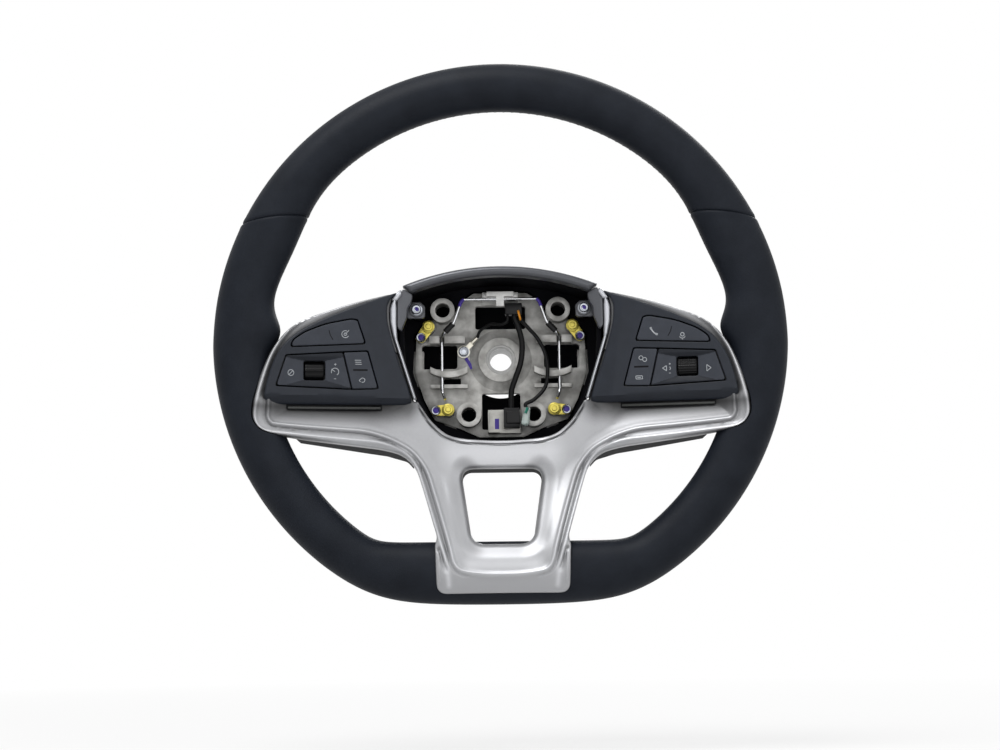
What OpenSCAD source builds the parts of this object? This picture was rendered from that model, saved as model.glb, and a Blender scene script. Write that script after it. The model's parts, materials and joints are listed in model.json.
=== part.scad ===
// Car steering wheel with a flat-bottomed leather rim, a three-spoke painted bezel,
// two switch modules and an open hub well, as it looks before the airbag is fitted.
// X points right, Y points away from the driver along the column, Z points up.
// The origin is on the column axis, at the front face of the hub plate. Millimetres.

/* [Rim] */
// Outer radius of the rim above the spokes
rim_r = 187.8; // [184:0.1:192]
// Height of the rim's centre above the column axis
rim_rise = 4; // [2:0.5:6]
// Distance of the rim's middle plane in front of the hub plate
rim_reach = 50; // [48:0.5:52]
// How far the flat bottom is cut inside the round outline
flat_cut = 18.3; // [16:0.1:20]
// Width of the rim's section at its flat bottom
flat_w = 42; // [40:0.5:44]
// How far the lower half is drawn in at the very bottom
lower_draw = 5.2; // [4:0.1:6]
// Width of the grip at the top of the rim
grip_w_top = 32.5; // [31:0.1:34]
// Width of the grip below the spokes
grip_w_low = 36.9; // [36:0.1:38]
// How far each thumb rest stands in from the grip
thumb_swell = 6.2; // [0:0.1:9]
// Angle of each thumb rest above the horizontal
thumb_angle = 26; // [22:1:30]
// Angular width of a thumb rest
thumb_spread = 8.5; // [6:0.5:11]
// How far the grip runs in to meet the spoke
spoke_swell = 7.5; // [5:0.5:8]
// Depth of the rim's section from front to back
rim_depth = 29; // [27:0.5:31]
// Thickness of the leather
leather_t = 1.2; // [1:0.1:1.6]
// Slant of the leather seams, in degrees of rim angle
seam_slant = 4.25; // [0:0.25:6]
// Diameter of the steel ring inside the rim
ring_d = 10; // [8:0.5:12]

/* [Hub casting] */
// Thickness of the hub plate
plate_t = 6; // [5:0.5:8]
// Outer diameter of the central collar
collar_d = 30; // [28:0.5:33]
// How far the collar stands in front of the plate
collar_front = 5; // [4:0.5:7]
// How far the boss runs behind the plate's front face
boss_back = 22; // [20:0.5:24]
// Outer diameter of the steel sleeve
sleeve_d = 20; // [19:0.5:22]
// Bore of the steel sleeve
bore_d = 15; // [14:0.1:16]
// Half spacing of the upper airbag eyes
eye_top_x = 38.8; // [38:0.1:39.5]
// Height of the upper airbag eyes
eye_top_z = 33; // [32:0.1:34]
// Half spacing of the lower airbag eyes
eye_low_x = 21.7; // [21:0.1:22.5]
// Depth of the lower airbag eyes below the axis
eye_low_z = 37.7; // [37:0.1:38.5]
// Outer diameter of an airbag eye
eye_d = 16.4; // [15.5:0.1:17]
// Hole in an airbag eye
eye_hole_d = 10; // [9:0.1:10.5]
// Distance of the flat in an airbag eye from its middle
eye_flat = 4.65; // [4.6:0.05:4.8]
// How far the eyes stand in front of the plate
eye_front = 12; // [10:0.5:14]
// Width of a side arm
arm_w = 24; // [20:1:26]
// Width of a side arm where it meets the rim's ring
arm_tip_w = 16; // [14:1:20]
// Thickness of an arm
arm_t = 6; // [5:0.5:7]
// Width of a lower arm
leg_arm_w = 8; // [7:0.5:8.5]
// Distance of a lower arm from the middle
leg_arm_x = 30.5; // [30.5:0.5:31]

/* [Spoke bezel] */
// Thickness of the bezel's skin
bezel_t = 2.5; // [2:0.1:3]
// Depth of the bezel's side walls
bezel_wall = 11; // [9:0.5:13]
// Distance of the bezel around the well behind the rim's middle plane
bezel_set = 6; // [5:0.5:7]
// Angle by which the spokes lean towards the driver
spoke_lean = 10; // [9:0.5:11]
// Width of the raised bead along the bezel's edge
bead_w = 4; // [3:0.5:5]
// Width of the groove between the two beads
bead_gap = 5.5; // [5:0.5:6]
// Height of the beads above the field
bead_h = 1.4; // [1:0.1:1.6]
// Half width of the spoke window at its top
window_top_x = 27.3; // [26.5:0.1:28]
// Half width of the spoke window at its bottom
window_low_x = 19.7; // [19:0.1:21]
// Top of the spoke window below the axis
window_top_z = 76; // [75:0.5:77]
// Bottom of the spoke window below the axis
window_low_z = 126; // [125:0.5:127]
// Corner radius of the spoke window
window_r = 6; // [4:0.5:8]

/* [Hub trim and rear cover] */
// Height of the trim arc's outer edge above the axis
arc_top = 57; // [56.5:0.5:58]
// Radius of the trim arc's outer edge
arc_r_out = 170; // [160:1:180]
// Height of the well's upper edge above the axis
well_top = 50.5; // [50:0.5:51]
// Radius of the well's upper edge
arc_r_in = 165; // [140:1:180]
// Depth of the trim arc from front to back
arc_depth = 9; // [8:0.5:10]
// Wall thickness of the rear cover
cover_t = 2.5; // [2:0.1:3]
// Distance of the rear cover's back behind the hub plate's front
cover_back = 28; // [27:0.5:30]
// Diameter of the column opening in the rear cover
column_open_d = 46; // [40:1:60]
// Thickness of the chrome strips
chrome_t = 5; // [4:0.5:6]

/* [Switch modules] */
// Distance of a switch module's middle from the column axis
switch_x = 108; // [107:0.5:109]
// Height of the switch face above the bezel's field
switch_proud = 4; // [3:0.5:5]
// Depth of the switch housing
housing_d = 17.5; // [17:0.5:19]
// Depth of the housing's lip over the rim
lip_d = 6; // [5:0.5:6.5]
// Distance of the housing's deep part from its middle, on the rim's side
body_reach = 36.5; // [35:0.5:37]
// Wall thickness of the switch housing
housing_t = 1.8; // [1.6:0.1:2]
// Thickness of the housing's face
face_t = 2.2; // [2:0.1:2.4]
// Gap round every key
key_gap = 0.45; // [0.4:0.05:0.6]
// Thickness of a key's skin
key_t = 2; // [1.6:0.1:2.2]
// Depth of a key's skirt
skirt_d = 3.2; // [2.8:0.1:3.4]
// Diameter of the key pivot pins
pivot_d = 2; // [1.6:0.1:2.2]
// Radial clearance of pins and shafts
pivot_gap = 0.06; // [0.04:0.01:0.1]
// Depth of the key pivots behind the face
pivot_depth = 5; // [4.8:0.1:5.4]
// Diameter of a roller
roller_d = 13.8; // [13:0.1:14]
// Width of a roller
roller_w = 12.6; // [12:0.1:13]
// Width of the window round a roller
roller_slot_w = 14.1; // [13.8:0.1:14.6]
// Height of the window round a roller
roller_slot_h = 12.7; // [12.5:0.1:13.2]
// Depth of the roller's shaft behind the face
roller_depth = 7.2; // [7.1:0.1:7.5]
// Diameter of the roller's shaft
shaft_d = 3; // [2.6:0.1:3.4]
// How far the panel dips towards its roller
panel_dip = 1.2; // [0.8:0.1:1.4]
// Thickness of a circuit board
board_t = 1.6; // [1.2:0.1:1.8]
// Distance of a circuit board's front from the housing's back
board_up = 5.5; // [5.3:0.1:5.7]
// Thickness of the dome mat
mat_t = 0.8; // [0.6:0.1:1]

/* [Small parts in the well] */
// Diameter of the airbag retaining wire
wire_d = 2; // [1.8:0.1:2.2]
// Outer diameter of the sleeves on the wire
wire_sleeve_d = 4; // [3.6:0.1:4.4]
// Diameter of a horn contact bolt's flange
flange_d = 8.4; // [8:0.1:8.8]
// Diameter of a contact screw's head
contact_head_d = 6.4; // [6:0.1:6.8]
// Diameter of the bolt holes in the hub casting
tap_d = 4.2; // [4:0.1:4.6]
// Thickness of the contact straps
strap_t = 0.8; // [0.6:0.1:1]
// Diameter of the main lead
main_lead_d = 3.8; // [3.4:0.1:4]
// Diameter of the thin lead
thin_lead_d = 2.6; // [2.4:0.1:2.8]
// Diameter of the earth lead
earth_lead_d = 2; // [1.8:0.1:2.2]

/* [Hidden] */
$fn = 48;
seat_gap = 0.3;   // gap between neighbouring pieces
skin_gap = 0.2;   // gap between the leather and its foam
sides = 14;       // sides of the rim's section
step_deg = 5;     // rim angle from one ring to the next
seam_right = 30;  // rim angle of the right seam
seam_left = 150;  // rim angle of the left seam
seam_low = 270;   // rim angle of the seam under the bezel
rim_y = -rim_reach;
bezel_y = rim_y + bezel_set;
grip_in_top = rim_r - grip_w_top;
grip_in_low = rim_r - grip_w_low;
flat_out = rim_r - flat_cut;
flat_in = flat_out - flat_w;
spoke_angle = 4;    // rim angle at which the grip meets the spoke
spoke_spread = 3.5; // angular width of the swelling there
far = 120;        // longer than any depth that is cut
lap = 0.5;        // overlap of the layers that make up one piece

// Places a flat outline, drawn in X and Z, between two depths along Y
module slab(y0, y1) {
  translate([0, y1, 0]) rotate([90, 0, 0]) linear_extrude(y1 - y0) children();
}
// Draws its children twice, once mirrored to the left
module both_sides() {
  children();
  mirror([1, 0, 0]) children();
}
// Rounds convex corners by ro and concave ones by ri
module rounded(ro, ri = 0) {
  offset(r = -ri, $fn = 24) offset(delta = ri) offset(r = ro, $fn = 24) offset(delta = -ro) children();
}
// A round bar along Y, its axis through x and z
module bar_y(x, z, d, y0, y1) {
  translate([x, y1, z]) rotate([90, 0, 0]) cylinder(d = d, h = y1 - y0);
}
module bar_x(x0, x1, y, z, d) {
  translate([x0, y, z]) rotate([0, 90, 0]) cylinder(d = d, h = x1 - x0);
}
module bar_z(x, y, z0, z1, d) {
  translate([x, y, z0]) cylinder(d = d, h = z1 - z0);
}
module block(x0, x1, y0, y1, z0, z1) {
  translate([x0, y0, z0]) cube([x1 - x0, y1 - y0, z1 - z0]);
}
// A straight round rod between two points
module rod(p, q, d) {
  v = q - p;
  translate(p) rotate([0, acos(v[2] / norm(v)), atan2(v[1], v[0])]) cylinder(d = d, h = norm(v));
}
// Rim outline, as radius by angle
function smooth(t) = let(u = min(1, max(0, t))) u * u * (3 - 2 * u);
function soft_min(a, b, p) = pow(pow(a, -p) + pow(b, -p), -1 / p);
function below(t) = max(0.2, -sin(t));
function from_side(t) = let(u = t > 270 ? t - 360 : t) u < 90 ? u : 180 - u;
function bulge(t, size, at, spread) = size * exp(-pow((from_side(t) - at) / spread, 2) / 2);
function swell(t) = bulge(t, thumb_swell, thumb_angle, thumb_spread);
function meet(t) = bulge(t, spoke_swell, spoke_angle, spoke_spread);
function r_out(t) = sin(t) >= 0 ? rim_r : soft_min(rim_r + lower_draw * sin(t), flat_out / below(t), 30);
function r_in_up(t) = grip_in_low + (grip_in_top - grip_in_low) * smooth(from_side(t) / 30);
function r_in_down(t) = soft_min(grip_in_low, flat_in / below(t), 60);
function r_in_plain(t) = sin(t) > 0 ? r_in_up(t) : r_in_down(t);
function r_in(t) = r_in_plain(t) - swell(t) - meet(t);
function r_mid(t) = (r_out(t) + r_in(t)) / 2;
function r_core(t) = (r_out(t) + r_in_plain(t)) / 2;
function slant(u) = seam_slant * (exp(-pow((u - seam_left) / 16, 2)) - exp(-pow((u - seam_right) / 16, 2)));
// One ring of the rim's section, drawn in by inset
function rim_ring_points(turn, inset) = [for (k = [0:sides - 1])
  let(u = turn % 360,
      a = 360 * (k + 0.5) / sides,
      t = u + slant(u) * cos(a),
      r = r_mid(t) + ((r_out(t) - r_in(t)) / 2 - inset) * cos(a))
  [r * cos(t), rim_y + (rim_depth / 2 - inset) * sin(a), rim_rise + r * sin(t)]];
// One ring of the steel core
function core_ring_points(u, d) = [for (k = [0:7])
  let(a = 45 * k + 22.5, r = r_core(u) + d / 2 * cos(a))
  [r * cos(u), rim_y + d / 2 * sin(a), rim_rise + r * sin(u)]];
// Faces that join ring i to ring j, seen from outside
function band(i, j, n) = [for (k = [0:n - 1]) each
  [[i * n + k, j * n + k, j * n + (k + 1) % n], [i * n + k, j * n + (k + 1) % n, i * n + (k + 1) % n]]];
function flat_list(rings) = [for (ring = rings) each ring];

// A closed loop of rings
module closed_loop(rings) {
  n = len(rings[0]);
  m = len(rings);
  polyhedron(flat_list(rings), [for (i = [0:m - 1]) each band(i, (i + 1) % m, n)], convexity = 4);
}
// A hollow length of rim cover between two rim angles
module cover_length(u0, u1) {
  us = [for (u = [u0:step_deg:u1]) u];
  m = len(us);
  outer = [for (u = us) rim_ring_points(u, 0)];
  inner = [for (i = [m - 1:-1:0]) rim_ring_points(us[i], leather_t)];
  closed_loop(concat(outer, inner));
}
module rim_loop(inset) {
  closed_loop([for (u = [0:step_deg:359]) rim_ring_points(u, inset)]);
}
module core_loop(d) {
  closed_loop([for (u = [0:step_deg:359]) core_ring_points(u, d)]);
}

// Spoke surfaces. Depth of the bezel's field by distance from the middle
lean = tan(spoke_lean);
flat_half = 55;                       // half width of the level middle part
function wing_y(x) = bezel_y - max(0, x - flat_half) * lean;
// Depth of the leg's front by distance below the axis
leg_top = 58;                         // where the leg starts below the axis
leg_half = 54;                        // half width of the leg's part of the plan
leg_bend = 68;                        // where the leg starts to lean towards the driver
leg_crown = 140;                      // where the leg lies proudest on the rim
leg_end = flat_out - rim_rise - 8;    // lower end of the leg
crown_y = rim_y - rim_depth / 2 - 1.5;
function leg_y(z) = z < leg_crown
  ? bezel_y + (crown_y - bezel_y) * smooth((z - leg_bend) / (leg_crown - leg_bend))
  : crown_y + 5 * pow((z - leg_crown) / (leg_end - leg_crown), 2);
wing_end = 175;
leg_steps = concat([leg_top - 8], [for (z = [leg_bend:6:leg_end + 6]) z]);

// The space between two offsets from the wings' front, the whole way up
module wing_band(y0, y1) {
  xs = [-wing_end, -flat_half, flat_half, wing_end];
  translate([0, 0, -far])
    linear_extrude(2 * far)
      polygon(concat([for (x = xs) [x, wing_y(abs(x)) + y0]],
                     [for (i = [3:-1:0]) [xs[i], wing_y(abs(xs[i])) + y1]]));
}
// The same for the leg, between offsets from its front
module leg_band(y0, y1) {
  n = len(leg_steps);
  rotate([90, 0, 90]) translate([0, 0, -far]) linear_extrude(2 * far)
    polygon(concat([for (z = leg_steps) [leg_y(z) + y0, -z]],
                   [for (i = [n - 1:-1:0]) [leg_y(leg_steps[i]) + y1, -leg_steps[i]]]));
}

// The box round the leg, where its own front takes over from the wings'
module leg_box() {
  block(-leg_half, leg_half, -far, far, -200, -leg_top - 4);
}
// The space between two offsets from the bezel's whole front
module front_band(y0, y1) {
  difference() {
    wing_band(y0, y1);
    leg_box();
  }
  intersection() {
    leg_band(y0, y1);
    leg_box();
  }
}

// Flat outlines in X and Z
WELL_SIDE = [[58.8, 37.5], [64, 22], [63.5, -3], [54.3, -29], [45.6, -44.6], [35.4, -53.7], [16.5, -57.4]];
module well_outline() {
  intersection() {
    translate([0, well_top - arc_r_in]) circle(arc_r_in, $fn = 180);
    rounded(4)
      polygon(concat([[0, 60], [54, 60]], WELL_SIDE, [for (i = [6:-1:0]) [-WELL_SIDE[i][0], WELL_SIDE[i][1]]],
                     [[-54, 60]]));
  }
}
WING_TOP = [[70, 39.5], [72.9, 38.5], [98.8, 32], [124.7, 22.5], [136.3, 16], [147.1, 3.8], [155.2, -14]];
WING_LOW = [[160.7, -34], [161, -44], [155, -52], [133.2, -56.3], [77.9, -63], [64.3, -66.6], [55.7, -76]];
LEG_SIDE = [[51, -91], [42.1, -121], [43.4, -127], [42.5, -157.5]];
module bezel_half() {
  polygon(concat([[0, 39.5]], WING_TOP, WING_LOW, LEG_SIDE, [[0, -leg_end]]));
}
module bezel_outline() {
  rounded(5, 6) {
    bezel_half();
    mirror([1, 0]) bezel_half();
  }
}
module window_outline() {
  rounded(window_r)
    polygon([[-window_top_x, -window_top_z], [window_top_x, -window_top_z],
             [window_low_x, -window_low_z], [-window_low_x, -window_low_z]]);
}
STRIP_OUT = [[68.6, 36.4], [71, 33.4], [72.3, 29], [72.2, 20], [70.6, 12], [56.6, -32.5], [47, -46.5],
             [36, -55.6]];
STRIP_IN = [[35.6, -54.4], [46, -45.4], [54.9, -31.6], [67.6, 9.5], [68, 20], [68, 30]];
module strip_outline() {
  polygon(concat(STRIP_OUT, STRIP_IN));
}
// Everything between the strip and the middle
module inside_strip() {
  polygon(concat([[0, -54], [0, 39]], [[69, 39]], [for (i = [5:-1:0]) STRIP_IN[i]]));
}

// Hub casting and its steel sleeve
PLATE_SIDE = [[18, 46], [24, 42], [31, 30], [50, 27], [57, 14], [58, -8], [52, -26], [45, -40], [28, -46],
              [15, -52]];
module plate_outline() {
  rounded(3, 3)
    polygon(concat(PLATE_SIDE, [for (i = [9:-1:0]) [-PLATE_SIDE[i][0], PLATE_SIDE[i][1]]]));
}
module plate_windows() {
  rounded(1.5) translate([-17, 21.3]) square([34, 16]);
  rounded(1.5) translate([-13, -47]) square([26, 24.5]);
  for (s = [-1, 1]) rounded(2) translate([s * 41.3 - 12, -5.5]) square([24, 16.5]);
  for (s = [-1, 1]) rounded(1) translate([s * 33 - 6, -16.5]) square([12, 4.5]);
}
BOLTS = [[48.5, 22.5], [35.6, -34]];
CONTACTS = [[53.5, 15.2], [43.8, -34.4]];
EARTH = [-24.9, 5.7];
bar_mid = 36;        // middle of the bar over each side window
arm_z = -5;
arm_in = 52;
core_x = r_core(0);
arm_grip = ring_d / 2 + 4;
core_low = r_core(seam_low) - rim_rise;
arm_front = 2;       // how far the arms start behind the plate's front
arm_out = 66;        // where a side arm leaves the well
arm_rib_d = 12;      // how far the ribs reach behind the plate's front
// Where a side arm passes close behind the switch housing
knee_x = switch_x + body_reach + 3;
knee_y = wing_y(switch_x) - switch_proud + (housing_d + seat_gap) / cos(spoke_lean)
  - (knee_x - switch_x) * lean;
// A side arm seen from the front, narrower at the rim
module arm_plan(gap) {
  x2 = core_x + arm_grip;
  offset(delta = gap)
    polygon([[arm_in, arm_z + arm_w / 2], [switch_x, arm_z + arm_w / 2], [x2, arm_z + arm_tip_w / 2],
             [x2, arm_z - arm_tip_w / 2], [switch_x, arm_z - arm_w / 2], [arm_in, arm_z - arm_w / 2]]);
}
// The arms are also cut out of the padding, there with a gap all round
module side_arm(gap = 0) {
  translate([0, 0, arm_z - arm_w / 2 - gap]) linear_extrude(arm_w + 2 * gap) offset(delta = gap)
    polygon([[arm_in, arm_front], [arm_out, arm_front - 1], [knee_x, knee_y],
             [core_x - arm_grip, rim_y - arm_t / 2], [core_x, rim_y - arm_grip],
             [core_x + arm_grip - 1, rim_y], [core_x, rim_y + arm_grip],
             [core_x - arm_grip, rim_y + arm_t / 2 + 1], [arm_out + 4, arm_front + arm_t],
             [arm_in, arm_front + arm_t]]);
}
// Two ribs that stiffen a side arm
module arm_ribs(gap = 0) {
  for (s = [-1, 1]) translate([0, 0, arm_z + s * (arm_w / 2 - 1.5) - 1.5 - gap])
    linear_extrude(3 + 2 * gap) offset(delta = gap)
      polygon([[arm_in, arm_front + 1], [arm_out, arm_front + 1], [knee_x, knee_y + 1],
               [core_x - arm_grip, rim_y + 3], [core_x - arm_grip, rim_y + 6], [arm_in + 26, 7],
               [arm_in, arm_rib_d]]);
}
module leg_arm(gap = 0) {
  translate([leg_arm_x - gap, 0, 0]) rotate([90, 0, 90]) linear_extrude(leg_arm_w + 2 * gap)
    offset(delta = gap)
      polygon([[arm_front, -38], [arm_front, -leg_top + 1], [rim_y - arm_t / 2, -core_low + arm_grip],
               [rim_y - arm_grip, -core_low], [rim_y, -core_low - arm_grip + 1],
               [rim_y + arm_grip, -core_low], [rim_y + arm_t / 2 + 2, -core_low + arm_grip],
               [arm_front + arm_t + 1, -leg_top], [arm_front + arm_t, -38]]);
}
module arm_set(gap = 0) {
  both_sides() {
    intersection() {
      union() {
        side_arm(gap);
        arm_ribs(gap);
      }
      slab(-far, far) arm_plan(gap);
    }
    leg_arm(gap);
  }
}
module eye_hole(s, x, z) {
  bar_y(s * x, z, eye_hole_d, -eye_front - 1, -eye_front / 3);
  intersection() {
    bar_y(s * x, z, eye_hole_d, -eye_front, plate_t + 1);
    block(s * x - (s > 0 ? eye_flat : eye_hole_d), s * x + (s > 0 ? eye_hole_d : eye_flat),
          -eye_front, plate_t + 2, z - eye_hole_d, z + eye_hole_d);
  }
}
module armature() {
  color("gainsboro") difference() {
    union() {
      difference() {
        slab(0, plate_t) plate_outline();
        slab(-1, plate_t + 1) plate_windows();
      }
      bar_y(0, 0, collar_d, -collar_front, boss_back);
      translate([0, -0.01, 0]) rotate([90, 0, 0]) cylinder(r1 = collar_d / 2 + 6, r2 = collar_d / 2, h = 3);
      for (s = [-1, 1]) {
        bar_y(s * eye_top_x, eye_top_z, eye_d, -eye_front, plate_t);
        bar_y(s * eye_low_x, -eye_low_z, eye_d, -eye_front, plate_t);
        for (p = BOLTS) bar_y(s * p[0], p[1], 9, -6, plate_t);
        for (p = CONTACTS) bar_y(s * p[0], p[1], 7, -6, plate_t);
        block(s * bar_mid - 12, s * bar_mid + 12, -9, plate_t, 11, 16);
        // curved bridge below each side window
        translate([s * 35, 0, 0]) slab(-8, plate_t) intersection() {
          translate([-12.5, -13]) square([25, 9]);
          difference() {
            translate([0, 14]) circle(26);
            translate([0, 17]) circle(25);
          }
        }
        block(s * 35 - 12.5, s * 35 + 12.5, -5, 0, -19, -16.5);
      }
      bar_y(EARTH[0], EARTH[1], 8, -3, plate_t);
      block(-12, 12, -6, plate_t, 37.3, 45);
      arm_set();
    }
    bar_y(0, 0, sleeve_d + 2 * pivot_gap, -collar_front - 1, boss_back + 1);
    for (s = [-1, 1]) {
      eye_hole(s, eye_top_x, eye_top_z);
      eye_hole(s, eye_low_x, -eye_low_z);
      for (p = concat(BOLTS, CONTACTS)) bar_y(s * p[0], p[1], tap_d, -7, plate_t + 1);
    }
    // sockets that hold the steel ring
    both_sides() translate([0, rim_y, rim_rise]) rotate([0, asin((rim_rise - arm_z) / core_x), 0])
      translate([core_x, 0, -arm_w]) cylinder(d = ring_d + 1.4, h = 2 * arm_w);
    bar_y(EARTH[0], EARTH[1], tap_d, -4, plate_t + 1);
    bar_x(-60, 60, rim_y, -core_low, ring_d + 1.2);
    // seats of the retaining wire
    for (s = [-1, 1]) {
      bar_z(s * 39.6, -5, -27, 17, wire_d + 2 * seat_gap);
      block(s * 39.4 - 1.7, s * 39.4 + 1.7, -12, -5, 10, 17);
    }
  }
}
module hub_sleeve() {
  color("dimgray") difference() {
    bar_y(0, 0, sleeve_d, -collar_front + 1, boss_back);
    bar_y(0, 0, bore_d, -collar_front, boss_back + 1);
    // recess for the column nut
    bar_y(0, 0, bore_d + 2, -collar_front, -collar_front + 2.2);
  }
}
module rim_ring() {
  color("slategray") core_loop(ring_d);
}

// Padding, leather and the pockets that hold the bezel in them
module bezel_pocket() {
  intersection() {
    front_band(-40, bezel_t + 0.4);
    slab(-far, 0) offset(delta = 0.5) bezel_outline();
  }
}
module rim_foam() {
  color("dimgray") difference() {
    rim_loop(leather_t + skin_gap);
    core_loop(ring_d + 0.1);
    arm_set(0.2);
    bezel_pocket();
  }
}
module leather_panel(u0, u1) {
  color([0.12, 0.13, 0.16]) difference() {
    cover_length(u0, u1);
    arm_set(0.2);
    bezel_pocket();
  }
}
module leather_top() { leather_panel(seam_right, seam_left); }
module leather_left() { leather_panel(seam_left, seam_low); }
module leather_right() { leather_panel(seam_low, seam_right + 360); }

// Painted bezel with two beads along its edge
module inside_rim(gap) {
  translate([0, rim_rise]) circle(grip_in_low - gap, $fn = 120);
}
// Everything between and inside the beads
module bezel_field() {
  difference() {
    offset(delta = -bead_w) bezel_outline();
    offset(delta = -bead_w - bead_gap) bezel_outline();
    offset(delta = bead_w) window_outline();
  }
  difference() {
    offset(delta = -bead_w - bead_gap - bead_w * 0.75) bezel_outline();
    offset(delta = bead_w) window_outline();
  }
}
// The hollow behind the skin, inside the side walls
module bezel_hollow() {
  difference() {
    offset(delta = -2) bezel_outline();
    offset(delta = 2) window_outline();
  }
  difference() {
    translate([-200, -200]) square(400);
    intersection() {
      inside_rim(3);
      translate([-170, -flat_in + rim_rise + 3]) square([340, 200]);
    }
  }
}
module bezel_openings() {
  well_outline();
  inside_strip();
  mirror([1, 0]) inside_strip();
  window_outline();
  offset(delta = seat_gap) strip_outline();
  mirror([1, 0]) offset(delta = seat_gap) strip_outline();
  translate([-69, 20]) square([138, 40]);
}
module spoke_bezel() {
  color("silver") difference() {
    intersection() {
      front_band(-bead_h, bezel_wall);
      slab(-far, 0) bezel_outline();
    }
    intersection() {
      front_band(bezel_t, 80);
      slab(-far, 10) bezel_hollow();
    }
    intersection() {
      front_band(-60, 0);
      slab(-far, 10) bezel_field();
    }
    slab(-far, 20) bezel_openings();
    both_sides() place_left_of_hub() {
      slab(-20, 40) offset(delta = seat_gap) housing_outline();
      block(STRIP_UNDER[0] - seat_gap, STRIP_UNDER[1] + seat_gap, 0, 13, STRIP_UNDER[2] - seat_gap, -28);
    }
  }
}

// Trim round the top of the well
TAB = [55.4, 30.5];
trim_end = 64.4;    // half length of the arc
module trim_side() {
  polygon([[57, 39], [64.2, 42.8], [64.9, 38.8], [67.3, 35.4], [67.4, 30], [67.5, 17], [64.5, 17], [64.4, 23]]);
}
module upper_trim() {
  color("dimgray") difference() {
    union() {
      slab(bezel_y - 2.5, bezel_y - 2.5 + arc_depth) difference() {
        intersection() {
          translate([0, arc_top - arc_r_out]) circle(arc_r_out, $fn = 180);
          translate([-trim_end, 36]) square([2 * trim_end, 30]);
        }
        translate([0, well_top - arc_r_in]) circle(arc_r_in, $fn = 180);
      }
      for (s = [0, 1]) mirror([s, 0, 0]) {
        slab(bezel_y - 2, bezel_y + 1) trim_side();
        // leg and tab that carry the screw
        slab(bezel_y + 1, -28) polygon([[60, 36.5], [62.5, 36.5], [63.8, 25], [61.6, 25]]);
        slab(-30, -28) rounded(2) translate([49.5, 24.5]) square([13.5, 12]);
      }
    }
    for (s = [-1, 1]) bar_y(s * TAB[0], TAB[1], 4.4, -40, 0);
  }
}
module chrome_strip_right() {
  color("white") slab(bezel_y - 3.5, bezel_y - 3.5 + chrome_t) strip_outline();
}
module chrome_strip_left() { mirror([1, 0, 0]) chrome_strip_right(); }

// Rear cover: the well's wall, its back plate and the backs of the spokes
COVER_WING = [[66, 20], [90, 8], [120, -11], [138, -22], [150, -31]];
module cover_wings(inset) {
  both_sides() translate([0, 0, -far]) linear_extrude(2 * far)
    polygon(concat([for (p = COVER_WING) [p[0], p[1] - inset]],
                   [[150, wing_y(150) + bezel_wall + seat_gap], [60, wing_y(60) + bezel_wall + seat_gap],
                    [60, 20 - inset]]));
}
function cover_leg_y(z) = 12.5 - 0.684 * (z - leg_top);
module cover_leg(inset) {
  rotate([90, 0, 90]) translate([0, 0, -48]) linear_extrude(96)
    polygon(concat([for (z = [56:8:120]) [leg_y(z) + bezel_wall + seat_gap, -z]],
                   [for (z = [120:-8:56]) [cover_leg_y(z) - inset, -z]]));
}
module cover_shape(inset) {
  intersection() {
    cover_wings(inset);
    slab(-far, far) intersection() {
      offset(delta = -inset) bezel_outline();
      inside_rim(4.6 + inset);
    }
  }
  intersection() {
    cover_leg(inset);
    slab(-far, far) difference() {
      offset(delta = -inset) bezel_outline();
      offset(delta = inset) window_outline();
    }
  }
}
// The casting as seen from the front, with its eyes and screw bosses
module casting_outline() {
  plate_outline();
  for (s = [-1, 1]) {
    translate([s * eye_top_x, eye_top_z]) circle(eye_d / 2);
    translate([s * eye_low_x, -eye_low_z]) circle(eye_d / 2);
    for (p = concat(BOLTS, CONTACTS)) translate([s * p[0], p[1]]) circle(flange_d / 2);
  }
}
// Black ledge that fills the well's floor round the casting, in front of the arms
module well_ledge() {
  color([0.1, 0.1, 0.11]) slab(-1.8, -seat_gap) difference() {
    well_outline();
    offset(delta = 1.2) casting_outline();
    // ways for the posts behind the trim tabs
    for (s = [-1, 1]) translate([s * TAB[0], TAB[1]]) circle(d = 8);
  }
}
module rear_cover() {
  color([0.1, 0.1, 0.11]) difference() {
    union() {
      difference() {
        cover_shape(0);
        difference() {
          cover_shape(cover_t);
          slab(-far, far) offset(delta = cover_t) well_outline();
        }
        slab(-far, far) well_outline();
      }
      slab(bezel_y + 8, cover_back) difference() {
        offset(delta = cover_t) well_outline();
        well_outline();
      }
      slab(cover_back - cover_t, cover_back) offset(delta = cover_t) well_outline();
      for (p = COVER_SCREWS) bar_y(p[0], p[1], 8, plate_t + seat_gap, cover_back);
      // post behind each trim tab
      for (s = [-1, 1]) bar_y(s * TAB[0], TAB[1], 8, -28 + seat_gap, cover_back);
    }
    bar_y(0, 0, column_open_d, cover_back - cover_t - 1, cover_back + 1);
    for (p = COVER_SCREWS) bar_y(p[0], p[1], 4.4, 0, cover_back + 1);
    for (s = [-1, 1]) bar_y(s * TAB[0], TAB[1], 3.2, -30, -14);
    // ways for the arms and the trim's legs
    both_sides() {
      block(138, 160, -60, -28, arm_z - arm_w / 2 - 1, arm_z + arm_w / 2 + 1);
      block(58, 66.5, bezel_y, -28 + seat_gap, 24, 38);
      block(45, 71, arm_front - 2, 14.5, arm_z - arm_w / 2 - 1, arm_z + arm_w / 2 + 1);
      block(leg_arm_x - 0.5, leg_arm_x + leg_arm_w + 0.5, arm_front - 2, 10, -62, -40);
    }
    both_sides() place_left_of_hub() slab(-10, housing_d + 1) offset(delta = 1) housing_outline();
  }
}
COVER_SCREWS = [[-20, 42], [20, 42], [0, -49]];

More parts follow.
